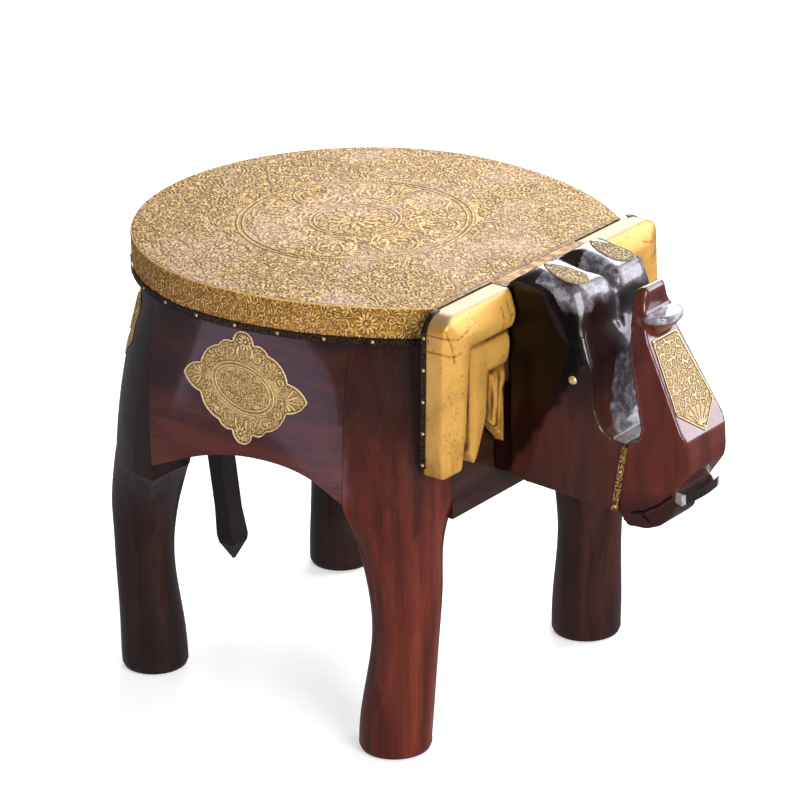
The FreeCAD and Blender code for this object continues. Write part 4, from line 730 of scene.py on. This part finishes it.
def seatTop():
    reach, chord = seat["reach"], seat["chord"]
    canvas = newCanvas(-reach, -chord, 2 * reach, chord + reach, seat["pitch"])
    paintSeat(canvas)
    places, outward = emptyGrid(canvas)
    outward[:, :, 2] = 1
    for row, v in enumerate(canvas["v"]):
        for column, u in enumerate(canvas["u"]):
            away = math.hypot(u, v)
            limit = float(np.interp(math.atan2(u, -v), rimAngles, rimRadii))
            if away <= limit + seat["pitch"] * 0.5 and v >= -chord:
                pull = min(1.0, limit / max(away, 1))
                drop = cornerDrop(max(0.0, limit - away))
                places[row, column] = place(u * pull, v * pull, seat["height"] - drop)
    fieldSheet((places, outward), np.clip(canvas["raised"], 0, 1), workTone(canvas, 0.6, 0.4), seat,
               "seatTopEmbossed", "seatBrass", "seat_top_sheet")


seatTop()
print("seat top embossed")


def paintRim(canvas, length, height):
    raised, middle = canvas["raised"], height * 0.46
    press(canvas, flowerField(lambda u, v: True, (0, length, 1.5, height - 2), rim["spacing"], 21, 0.11))
    # rosettes near the ears, seams between the panels further back
    for near, radius in rim["rosettes"]:
        for u in (near, length - near):
            raised[np.hypot(canvas["u"][None, :] - u, canvas["v"][:, None] - middle) < radius + 1.2] = 0
            press(canvas, rosette(u, middle, radius, rim["petals"]))
    for near in rim["seams"]:
        for u in (near, length - near):
            raised[:, np.abs(canvas["u"] - u) < 0.7] = 0
    raised[canvas["v"] > height - rim["border"], :] = 0.85


def seatRim():
    x, y = rimRadii * np.sin(rimAngles), -rimRadii * np.cos(rimAngles)
    breaks = np.where(np.diff(rimAngles) > 0.01)[0]
    if len(breaks):
        # the front gap lies inside the list: start behind it
        x, y = np.roll(x, -breaks[0] - 1), np.roll(y, -breaks[0] - 1)
    run = np.concatenate(([0], np.cumsum(np.hypot(np.diff(x), np.diff(y)))))
    height = seat["height"] - rim["bottom"]
    canvas = newCanvas(0, 0, run[-1], height, rim["pitch"])
    paintRim(canvas, run[-1], height)
    px, py = np.interp(canvas["u"], run, x), np.interp(canvas["u"], run, y)
    tangentX, tangentY = np.gradient(px), np.gradient(py)
    size = np.hypot(tangentX, tangentY)
    sign = np.sign(np.median(tangentY / size * px - tangentX / size * py))
    outX, outY = tangentY / size * sign, -tangentX / size * sign
    places, outward = emptyGrid(canvas)
    for row, v in enumerate(canvas["v"]):
        inset = cornerDrop(height - v)
        for column, (ox, oy) in enumerate(zip(outX, outY)):
            places[row, column] = place(px[column] - ox * inset, py[column] - oy * inset, rim["bottom"] + v)
            outward[row, column] = (ox, oy, 0)
    fieldSheet((places, outward), np.clip(canvas["raised"], 0, 1), workTone(canvas, 0.46), rim,
               "seatRimEmbossed", "rimBrass", "seat_rim_band")


seatRim()
print("rim embossed")

# flank medallions

medallion = {"middle": (-19.5, 296.0), "out": 170, "width": 126, "height": 97, "pitch": 0.5,
             "tilt": math.radians(-2.8), "oval": math.radians(-8), "ground": 0.56, "rim": 2.4, "relief": 0.0009,
             "skirt": 0.0007}


def paintMedallion(canvas):
    oval = medallion["oval"]
    dabs = [ring(0, 0, 31, 0.9, 1.0, 0.62, oval), ring(0, 0, 27.5, 0.9, 1.0, 0.6, oval)]
    dabs += rosette(0, 38, 7.6, 11) + rosette(0, -38, 7.6, 11)
    for side in (1, -1):
        dabs += fan(side * 41, 0, 0 if side > 0 else math.pi, 17, 5, 2.0)
        for high in (1, -1):
            upright = math.pi / 2 * high
            dabs += [spiral(side * 13, high * 27, 5.6, 1.3, 0.4 * side, side * high, 1.1),
                     spiral(side * 24, high * 24, 5.4, 1.3, 1.4, -side * high, 1.1),
                     spiral(side * 35, high * 13, 5.2, 1.4, 2.2, side * high, 1.1),
                     leaf(side * 6, high * 25, upright, 9, 1.6, side * 0.9),
                     leaf(side * 31, high * 20, upright - side * 0.9, 10, 1.3, side * 0.9)]
    press(canvas, dabs)
    # a finer ground, kept clear of the main work
    rest = dict(canvas, raised=np.zeros(canvas["raised"].shape))
    press(rest, flowerField(lambda u, v: (u / 25) ** 2 + (v / 14) ** 2 < 1, (-27, 27, -16, 16), 4.4, 31)
          + flowerField(lambda u, v: (u / 35) ** 2 + (v / 23) ** 2 > 1, (-62, 62, -47, 47), 4.8, 32))
    farSteps = tuple((2 * down, 2 * along) for down, along in nearSteps)
    busy = widened(canvas["raised"] > 0.05, nearSteps + farSteps)
    canvas["raised"] = np.where(busy, canvas["raised"], rest["raised"])


def flankMedallion(side):
    canvas = middleCanvas(medallion["width"], medallion["height"], medallion["pitch"])
    paintMedallion(canvas)
    turn = Matrix.Rotation(medallion["tilt"] * side, 3, "X")
    embossPlate(canvas, medallion, f"flankMedallionEmbossed{sideName(side).capitalize()}", "medallionBrass",
                f"flank_medallion_{sideName(side)}", place(side * medallion["out"], *medallion["middle"]),
                turn @ Vector((0, side, 0)), turn @ Vector((0, 0, 1)))


for side in (-1, 1):
    flankMedallion(side)
print("medallions embossed")

# plates on the trunk, the hips and the domes

plate = {"width": 56, "margin": 4, "pitch": 0.42, "across": 7.2, "up": 6.4, "fan": 17, "ground": 0.6, "rim": 2.0,
         "relief": 0.0006, "skirt": 0.0006}
rump = {"size": 80, "pitch": 0.5, "facing": math.radians(52), "petals": 8, "petalsAt": 23, "petal": 11.5,
        "ground": 0.4, "rim": 1.6, "relief": 0.0009, "skirt": 0.0007}
inlay = {"width": 48, "height": 52, "pitch": 0.45, "spacing": 4.6, "ground": 0.7, "rim": 0.9, "relief": 0.0005,
         "skirt": 0.0006}


def trunkPlate():
    low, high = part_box("trunk_plate")
    top, tip = Vector((0, high.y, high.z)), Vector((0, low.y, low.z))
    length = (top - tip).length * 1000
    canvas = middleCanvas(plate["width"], length + plate["margin"], plate["pitch"])
    dabs = []
    draw = np.random.default_rng(41)
    for row, v in enumerate(np.arange(-length / 2 + 8, length / 2, plate["up"])):
        for u in np.arange(-24 + (row % 2) * plate["across"] / 2, 24, plate["across"]):
            turn = draw.uniform(0, 6.28)
            dabs.append(spiral(u, v, 3.6, 1.2, turn, 1 if row % 2 else -1, 0.95))
            dabs.append(leaf(u + 3 * math.cos(turn), v + 3 * math.sin(turn), turn + 2, 5.0, 1.1, 1.2))
    press(canvas, dabs)
    # a fan of leaves in the pointed end
    spot = np.hypot(canvas["u"][None, :], canvas["v"][:, None] + length / 2 - 6) < plate["fan"]
    canvas["raised"][spot] = 0
    press(canvas, fan(0, -length / 2 + 5, math.pi / 2, plate["fan"], 7, 2.2))
    embossPlate(canvas, plate, "trunkPlateEmbossed", "plateBrass", "trunk_plate", (top + tip) / 2,
                Vector((1, 0, 0)), (top - tip).normalized())


def rumpOrnament(side):
    node = f"rump_ornament_{sideName(side)}"
    low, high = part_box(node)
    facing = Vector((side * math.cos(rump["facing"]), math.sin(rump["facing"]), 0))
    up = Vector((0, 0, 1))
    canvas = middleCanvas(rump["size"], rump["size"], rump["pitch"])
    dabs = []
    for k in range(rump["petals"]):
        turn = 2 * math.pi * (k + 0.5) / rump["petals"]
        for inset, width in ((0, 1.0), (4.0, 0.9), (8.0, 0.8)):
            dabs.append(ring(rump["petalsAt"] * math.cos(turn), rump["petalsAt"] * math.sin(turn),
                             rump["petal"] - inset, width, 1.0, 1.0, 0.0, turn - 1.7, turn + 1.7))
    dabs += rosette(0, 0, 12, 10) + [ring(0, 0, 13.8, 0.9)]
    press(canvas, dabs)
    embossPlate(canvas, rump, f"rumpOrnamentEmbossed{sideName(side).capitalize()}", "medallionBrass", node,
                (low + high) / 2, up.cross(facing), up)


def domeLeaf(side):
    node = f"dome_leaf_{sideName(side)}"
    low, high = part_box(node)
    width, height = inlay["width"], inlay["height"]
    canvas = middleCanvas(width, height, inlay["pitch"])
    box = (-width / 2, width / 2, -height / 2, height / 2)
    press(canvas, flowerField(lambda u, v: True, box, inlay["spacing"], 61 + side))
    embossPlate(canvas, inlay, f"domeLeafEmbossed{sideName(side).capitalize()}", "plateBrass", node,
                (low + high) / 2, Vector((1, 0, 0)), Vector((0, 1, 0)))


trunkPlate()
for side in (-1, 1):
    rumpOrnament(side)
    domeLeaf(side)
print("plates embossed")

# ears: brass over three nested mouldings, rounded by hand

ear = {"voxel": 0.0013, "base": 178.0, "back": 175.8, "inner": 55.9, "top": 380.0, "drop": 131.0,
       "side": 143.5, "spread": 6.0, "widths": (34.0, 32.0, 24.0), "fronts": (200.0, 197.0, 194.0),
       "crests": (0.6, 0.42, 0.5), "outerDrops": (6.0, 2.6, 1.6), "innerDrops": (4.0, 3.8, 2.2),
       "steps": (0.0, 2.8, 5.0), "woodVoxel": 0.002, "woodDrop": 2.6, "woodInset": 0.0014,
       "darkGroove": 4.0, "shadedGroove": 9, "streaksBelow": 290, "topGlareDarkening": 0.22,
       "creases": (((144, 366), (131, 362), (117, 366)), ((145, 353), (136, 349), (128, 350)),
                   ((141, 371), (136, 356), (134, 344)), ((74, 370), (72, 352), (70, 349)), ((66, 372), (64, 356)))}
firstGroove = ear["widths"][0]
secondGroove = firstGroove + ear["widths"][1]


def earDistance(where):
    # how far in from the ear's bent outer edge each place lies, in millimetres
    x, z = np.abs(where[:, 0]) * 1000, where[:, 2] * 1000
    side = ear["side"] + ear["spread"] * (ear["top"] - z) / ear["drop"] - x
    return np.minimum(side, (ear["top"] - z) * 1.046)


def shapeMouldings(form, extra):
    # each moulding rises to a soft crest and falls to the groove beside it
    where = points(form)
    distance = earDistance(where)
    order = np.where(distance < firstGroove, 0, np.where(distance < secondGroove, 1, 2))
    widths, fronts, crest, outer, inner, steps = (np.array(ear[key])[order] for key in (
        "widths", "fronts", "crests", "outerDrops", "innerDrops", "steps"))
    start = np.array((0, firstGroove, secondGroove))[order]
    share = np.clip((distance - start) / widths, 0, 1)
    depth = outer * np.clip(1 - share / crest, 0, 1) ** 1.25
    depth += inner * np.clip((share - crest) / (1 - crest), 0, 1) ** 1.4
    depth += steps + extra
    for vertex, x, cut, full in zip(form.verts, where[:, 0], depth, fronts - ear["base"]):
        front = -(vertex.co.y * 1000 - shift) - ear["base"]
        if front > 0 and abs(x) * 1000 > ear["inner"] - 2:
            vertex.co.y += front * min(cut / full, 0.85) / 1000


def paintEar(form):
    # painted shade: dark lines in the grooves, in the creases at the corner, along the head and at the back
    store = form.verts.layers.float.new("relief")
    where = points(form)
    distance = earDistance(where)
    x, y, z = localPlaces(form)
    x = np.abs(x)
    ragged = ripple(where, 350)
    groove = np.minimum(np.abs(distance - firstGroove - 1), np.abs(distance - secondGroove - 1)) + ragged * 0.9
    tone = 0.95 * np.clip(groove / ear["darkGroove"], 0, 1)
    tone *= 0.62 + 0.38 * np.clip(groove / ear["shadedGroove"], 0, 1)
    tone *= np.clip((x - ear["inner"] + ragged * 3) / 4, 0.1, 1)
    tone *= np.clip((-y - ear["back"] + ragged) / 1.5, 0.3, 1)
    # the innermost moulding and the lower points get dark streaks; the top face gets a painted shade, darker,
    # rougher and less metallic, against the top light's glare
    streaks = ripple(where, np.array((420, 420, 45)))
    streakArea = np.clip((distance - secondGroove) / 3, 0, 1) + 0.5 * np.clip((ear["streaksBelow"] - z) / 30, 0, 1)
    tone *= 1 - np.clip(streakArea, 0, 1) * np.clip(0.25 + streaks * 1.5, 0, 0.8)
    form.normal_update()
    tone *= 1 - ear["topGlareDarkening"] * np.clip([v.normal.z for v in form.verts], 0, 1)
    for crease in ear["creases"]:
        away, along = lineDistance(np.stack((x, z), axis=1), crease)
        tone *= 1 - 0.75 * np.exp(-((away + ragged * 0.5) / 0.7) ** 2)
    for vertex, value in zip(form.verts, tone):
        vertex[store] = float(value)


def cutAndClose(form, origin, normal):
    made = bmesh.ops.bisect_plane(form, geom=form.verts[:] + form.edges[:] + form.faces[:], dist=1e-7,
                                  plane_co=origin, plane_no=normal, clear_outer=True, clear_inner=False)
    edges = [g for g in made["geom_cut"] if isinstance(g, bmesh.types.BMEdge) and g.is_boundary]
    bmesh.ops.holes_fill(form, edges=edges, sides=0)


def carveEars():
    whole = carvingBlock(("ear_board", "ear_sheet_right", "ear_sheet_left"), ear["voxel"])
    soften(whole, 3)
    shapeMouldings(whole, 0.0)
    soften(whole, 4)
    paintEar(whole)
    for side in (-1, 1):
        form = whole.copy()
        cutAndClose(form, Vector((side * ear["inner"] / 1000, 0, 0)), Vector((-side, 0, 0)))
        cutAndClose(form, place(0, -ear["back"], 0), Vector((0, 1, 0)))
        finishCarving(form, f"earSkinCarved{sideName(side).capitalize()}", "earBrass",
                      f"ear_sheet_{sideName(side)}")
    whole.free()
    # the board under the brass follows it a little further in
    wood = carvingBlock(("ear_board",), ear["woodVoxel"])
    soften(wood, 2)
    shapeMouldings(wood, ear["woodDrop"])
    wood.normal_update()
    for vertex in wood.verts:
        if abs(vertex.co.x) * 1000 > ear["inner"] and vertex.normal.y < 0.5:
            vertex.co -= vertex.normal * ear["woodInset"]
    finishCarving(wood, "earBoardWood", "boardWood", "ear_board")


carveEars()
print("ears carved")

# head and trunk, carved from their blocks

carvingVoxel = 0.0013
eye = (54, -249.6, 314.8)


def eyeArc(radius, start, end, count):
    x, y, z = eye
    return [(x, y + radius * math.cos(a), z + radius * math.sin(a)) for a in np.linspace(start, end, count)]


head = {"flute": {"line": ((53, -233, 386), (54, -250, 356), (52, -259, 329)), "width": 8.5, "depth": 5.5,
                  "endShare": 0.25, "dark": 0.75},
        "parting": {"line": ((0, -252, 380), (0, -256, 362), (0, -258, 346)), "width": 5.5, "depth": 3.2,
                    "endShare": 0.6, "dark": 0.0},
        "brow": {"line": eyeArc(7.5, 0.5, 3.6, 9), "width": 1.0, "depth": 1.0, "endShare": 1.0, "dark": 0.8},
        "eyeRing": {"line": eyeArc(5.2, 0, 6.28, 13), "width": 1.0, "depth": 0.6, "endShare": 1.0, "dark": 0.8},
        "leafAt": 30.6, "leafReach": 9, "domesFrom": 350, "domeSoftening": 34, "shadeDarkening": 0.86, "patch": 0.7,
        "partingHighlight": 0.45, "sheen": 0.5}
trunk = {"mouth": {"line": ((33.2, -291, 207), (29.7, -299.7, 207.9), (26.7, -312.5, 215.7),
                            (25.6, -322.2, 225.3)),
                   "width": 1.5, "depth": 2.0, "endShare": 1.0, "dark": 0.95},
         "mouthCut": {"line": ((29.2, -298.5, 204.7), (25.3, -302.5, 198.4)), "width": 1.3, "depth": 1.4,
                      "endShare": 0.6, "dark": 0.95},
         "tipFrom": 371, "tipSoftening": 22, "lipHighlightStrength": 0.85}


def blockForPaintedLight(node, steps):
    # the block gets a layer for painted light and wear
    form = carvingBlock((node,), carvingVoxel)
    form.verts.layers.float.new("worn")
    soften(form, steps)
    return form


def paintHighlightAndWear(form, amounts):
    # painted highlights, pale and scratched, where the amounts are above 0
    store = form.verts.layers.float["worn"]
    for vertex, amount in zip(form.verts, amounts):
        if amount > 0:
            vertex[store] = float(min(amount, 1))


def carveHead():
    form = blockForPaintedLight("head_block", 6)
    # a broad flute in front of each temple, with painted shade in it, and the parting of the forehead
    for side in (-1, 1):
        carveLine(form, head["flute"], side)
    carveLine(form, head["parting"])
    # the domes and the brow are rounded further, but not under the leaves
    x, y, z = localPlaces(form)
    underLeaf = (np.abs(np.abs(x) - head["leafAt"]) < head["leafReach"]) & (y > -246) & (y < -204) & (z > 384)
    soften(form, head["domeSoftening"], chosenVerts(form, (z > head["domesFrom"]) & (y < -198) & ~underLeaf))
    # the brow and a ring round each eye, cut in with painted shade along them
    for side in (-1, 1):
        carveLine(form, head["brow"], side)
        carveLine(form, head["eyeRing"], side)
    # painted shade on the sides between the ears and the cheeks, with less coat and gloss
    x, y, z = localPlaces(form)
    store = form.verts.layers.float["worn"]
    rough = ripple(points(form), 90)
    shadeDarkening = np.clip((z - 266 + (y + 220) * 1.45 + rough * 7) / 9, 0, 1) * np.clip((np.abs(x) - 44) / 3, 0, 1)
    shadeDarkening *= np.clip((384 - z) / 5, 0, 1) * np.clip((y + 258) / 5, 0, 1) * head["shadeDarkening"]
    for vertex, amount in zip(form.verts, shadeDarkening):
        vertex[store] = min(vertex[store], -float(amount))
    # painted reflection, pale and scratched, in the hollow under the trunk, and a painted highlight along the
    # parting above it
    patch = np.clip((35 - (z - 268) * 0.32 - np.abs(x) + rough * 4) / 7, 0, 1) * head["patch"]
    patch *= np.clip((z - 258) / 6, 0, 1) * np.clip((338 - z + rough * 8) / 10, 0, 1) * (y < -262)
    partingHighlight = np.clip(1 - np.abs(x + rough * 2) / 3.4, 0, 1) * head["partingHighlight"]
    partingHighlight *= (z > 344) * (z < 374) * (y < -250)
    # faint painted reflection with fine scratches on the tops of the domes
    domes = np.clip((z - 368 + rough * 6) / 9, 0, 1) * (np.abs(x) < 52) * (y < -214) * head["sheen"]
    paintHighlightAndWear(form, np.maximum(np.maximum(patch, partingHighlight), domes))
    finishCarving(form, "headCarved", "headWood", "head_block")


def carveTrunk():
    form = blockForPaintedLight("trunk_block", 5)
    x, y, z = localPlaces(form)
    soften(form, trunk["tipSoftening"], chosenVerts(form, z > trunk["tipFrom"]))
    # the mouth's lines, cut in with painted shade along them
    for side in (-1, 1):
        carveLine(form, trunk["mouth"], side)
        carveLine(form, trunk["mouthCut"], side)
    # a painted highlight, pale and scratched, on the lip under the tip
    x, y, z = localPlaces(form)
    rough = ripple(points(form), 160)
    lipHighlight = np.clip((-293.5 - y + rough * 2) / 2, 0, 1) * np.clip((z - 359) / 3, 0, 1) * (z < 368)
    paintHighlightAndWear(form, lipHighlight * trunk["lipHighlightStrength"])
    finishCarving(form, "trunkCarved", "trunkWood", "trunk_block")


carveHead()
carveTrunk()
print("head and trunk carved")

# camera, lamps and floor

camera = {"target": (17.0, -26.8, 223.5), "distance": 3466.4, "azimuth": -52.107, "elevation": 22.195,
          "roll": -1.334, "lens": 190.857}
lamps = {
    # mirroredOnly: lights nothing, but is seen in the lacquer
    "topSoftbox": {"size": (1.5, 1.2), "at": (1.45, -0.75, 1.95), "toward": (0, -0.1, 0.38), "power": 30},
    "backSoftbox": {"size": (1.3, 1.1), "at": (1.75, 0.95, 1.45), "toward": (0, 0, 0.35), "power": 32},
    "foreheadCard": {"size": (1.4, 1.5), "at": (1.5, -1.55, 1.1), "toward": (0, -0.17, 0.37), "power": 40,
                     "color": "#e6e0f6", "mirroredOnly": True},
    "flankCard": {"size": (1.1, 0.6), "at": (-1.1, 0.5, 0.12), "toward": (-0.16, -0.02, 0.3), "power": 3.2,
                  "color": "#d9c8ec", "mirroredOnly": True},
    "frontSoftbox": {"size": (1.2, 1.2), "at": (-1.0, -2.2, 1.1), "toward": (0, 0, 0.2), "power": 52},
    "noseSoftbox": {"size": (0.9, 0.9), "at": (1.9, -1.7, 0.9), "toward": (0, -0.2, 0.25), "power": 12},
}


def addCamera():
    a, e, roll = (math.radians(camera[key]) for key in ("azimuth", "elevation", "roll"))
    back = Vector((math.sin(a) * math.cos(e), -math.cos(a) * math.cos(e), math.sin(e)))
    level = Vector((math.cos(a), math.sin(a), 0))
    right = level * math.cos(roll) + back.cross(level) * math.sin(roll)
    data = bpy.data.cameras.new("photoCamera")
    data.lens = camera["lens"]
    data.sensor_width = 36
    data.clip_end = 50
    view = addObject("photoCamera", data)
    turn = Matrix((right, back.cross(right), back)).transposed().to_4x4()
    view.matrix_world = Matrix.Translation(place(*camera["target"]) + back * camera["distance"] / 1000) @ turn
    bpy.context.scene.camera = view


def addLamp(name, look):
    data = bpy.data.lights.new(name, "AREA")
    data.shape = "RECTANGLE"
    data.size, data.size_y = look["size"]
    data.energy = look["power"]
    data.color = hexColor(look.get("color", "#ffffff"))[:3]
    lamp = addObject(name, data)
    lamp.location = look["at"]
    lamp.rotation_euler = (Vector(look["toward"]) - Vector(look["at"])).to_track_quat("-Z", "Y").to_euler()
    lamp.visible_camera = False
    lamp.visible_diffuse = not look.get("mirroredOnly", False)


def addFloor():
    form = bmesh.new()
    bmesh.ops.create_grid(form, x_segments=1, y_segments=1, size=6)
    mesh = toMesh(form, "floor")
    material, tree = newMaterial("paleFloor")
    shader = addNode(tree, "BsdfPrincipled", {"Base Color": hexColor("#f4f4f4"), "Roughness": 0.9})
    path = addNode(tree, "LightPath")
    strength = addNode(tree, "MapRange", {"Value": path.outputs["Is Camera Ray"], "To Max": 0.5})
    glow = addNode(tree, "Emission", {"Color": (1, 1, 1, 1), "Strength": strength})
    lit = addNode(tree, "AddShader", {0: shader, 1: glow})
    mirrored = addNode(tree, "Emission", {"Color": hexColor("#e9e2ee"), "Strength": 0.2})
    total = addNode(tree, "MixShader", {0: path.outputs["Is Glossy Ray"], 1: lit, 2: mirrored})
    addNode(tree, "OutputMaterial", {"Surface": total})
    mesh.materials.append(material)
    floor = addObject("floor", mesh)
    floor.location = (0, 0, -0.0005)


def addWorld():
    world = bpy.data.worlds.new("studio")
    bpy.context.scene.world = world
    world.use_nodes = True
    tree = world.node_tree
    tree.nodes.clear()
    path = addNode(tree, "LightPath")
    seen = addNode(tree, "Math", {
        0: path.outputs["Is Camera Ray"], 1: path.outputs["Is Transmission Ray"]},
        operation="MAXIMUM", use_clamp=True)
    plain = addNode(tree, "MapRange", {"Value": seen, "To Min": 0.34, "To Max": 1.0})
    strength = addNode(tree, "Math", {
        0: path.outputs["Is Glossy Ray"], 1: -0.2, 2: plain}, operation="MULTIPLY_ADD")
    light = addNode(tree, "Background", {"Color": (1, 1, 1, 1), "Strength": strength})
    addNode(tree, "OutputWorld", {"Surface": light})


addCamera()
for lampName, lampLook in lamps.items():
    addLamp(lampName, lampLook)
addFloor()
addWorld()
bpy.context.scene.view_settings.view_transform = "Standard"
print("camera, lamps and floor ready")
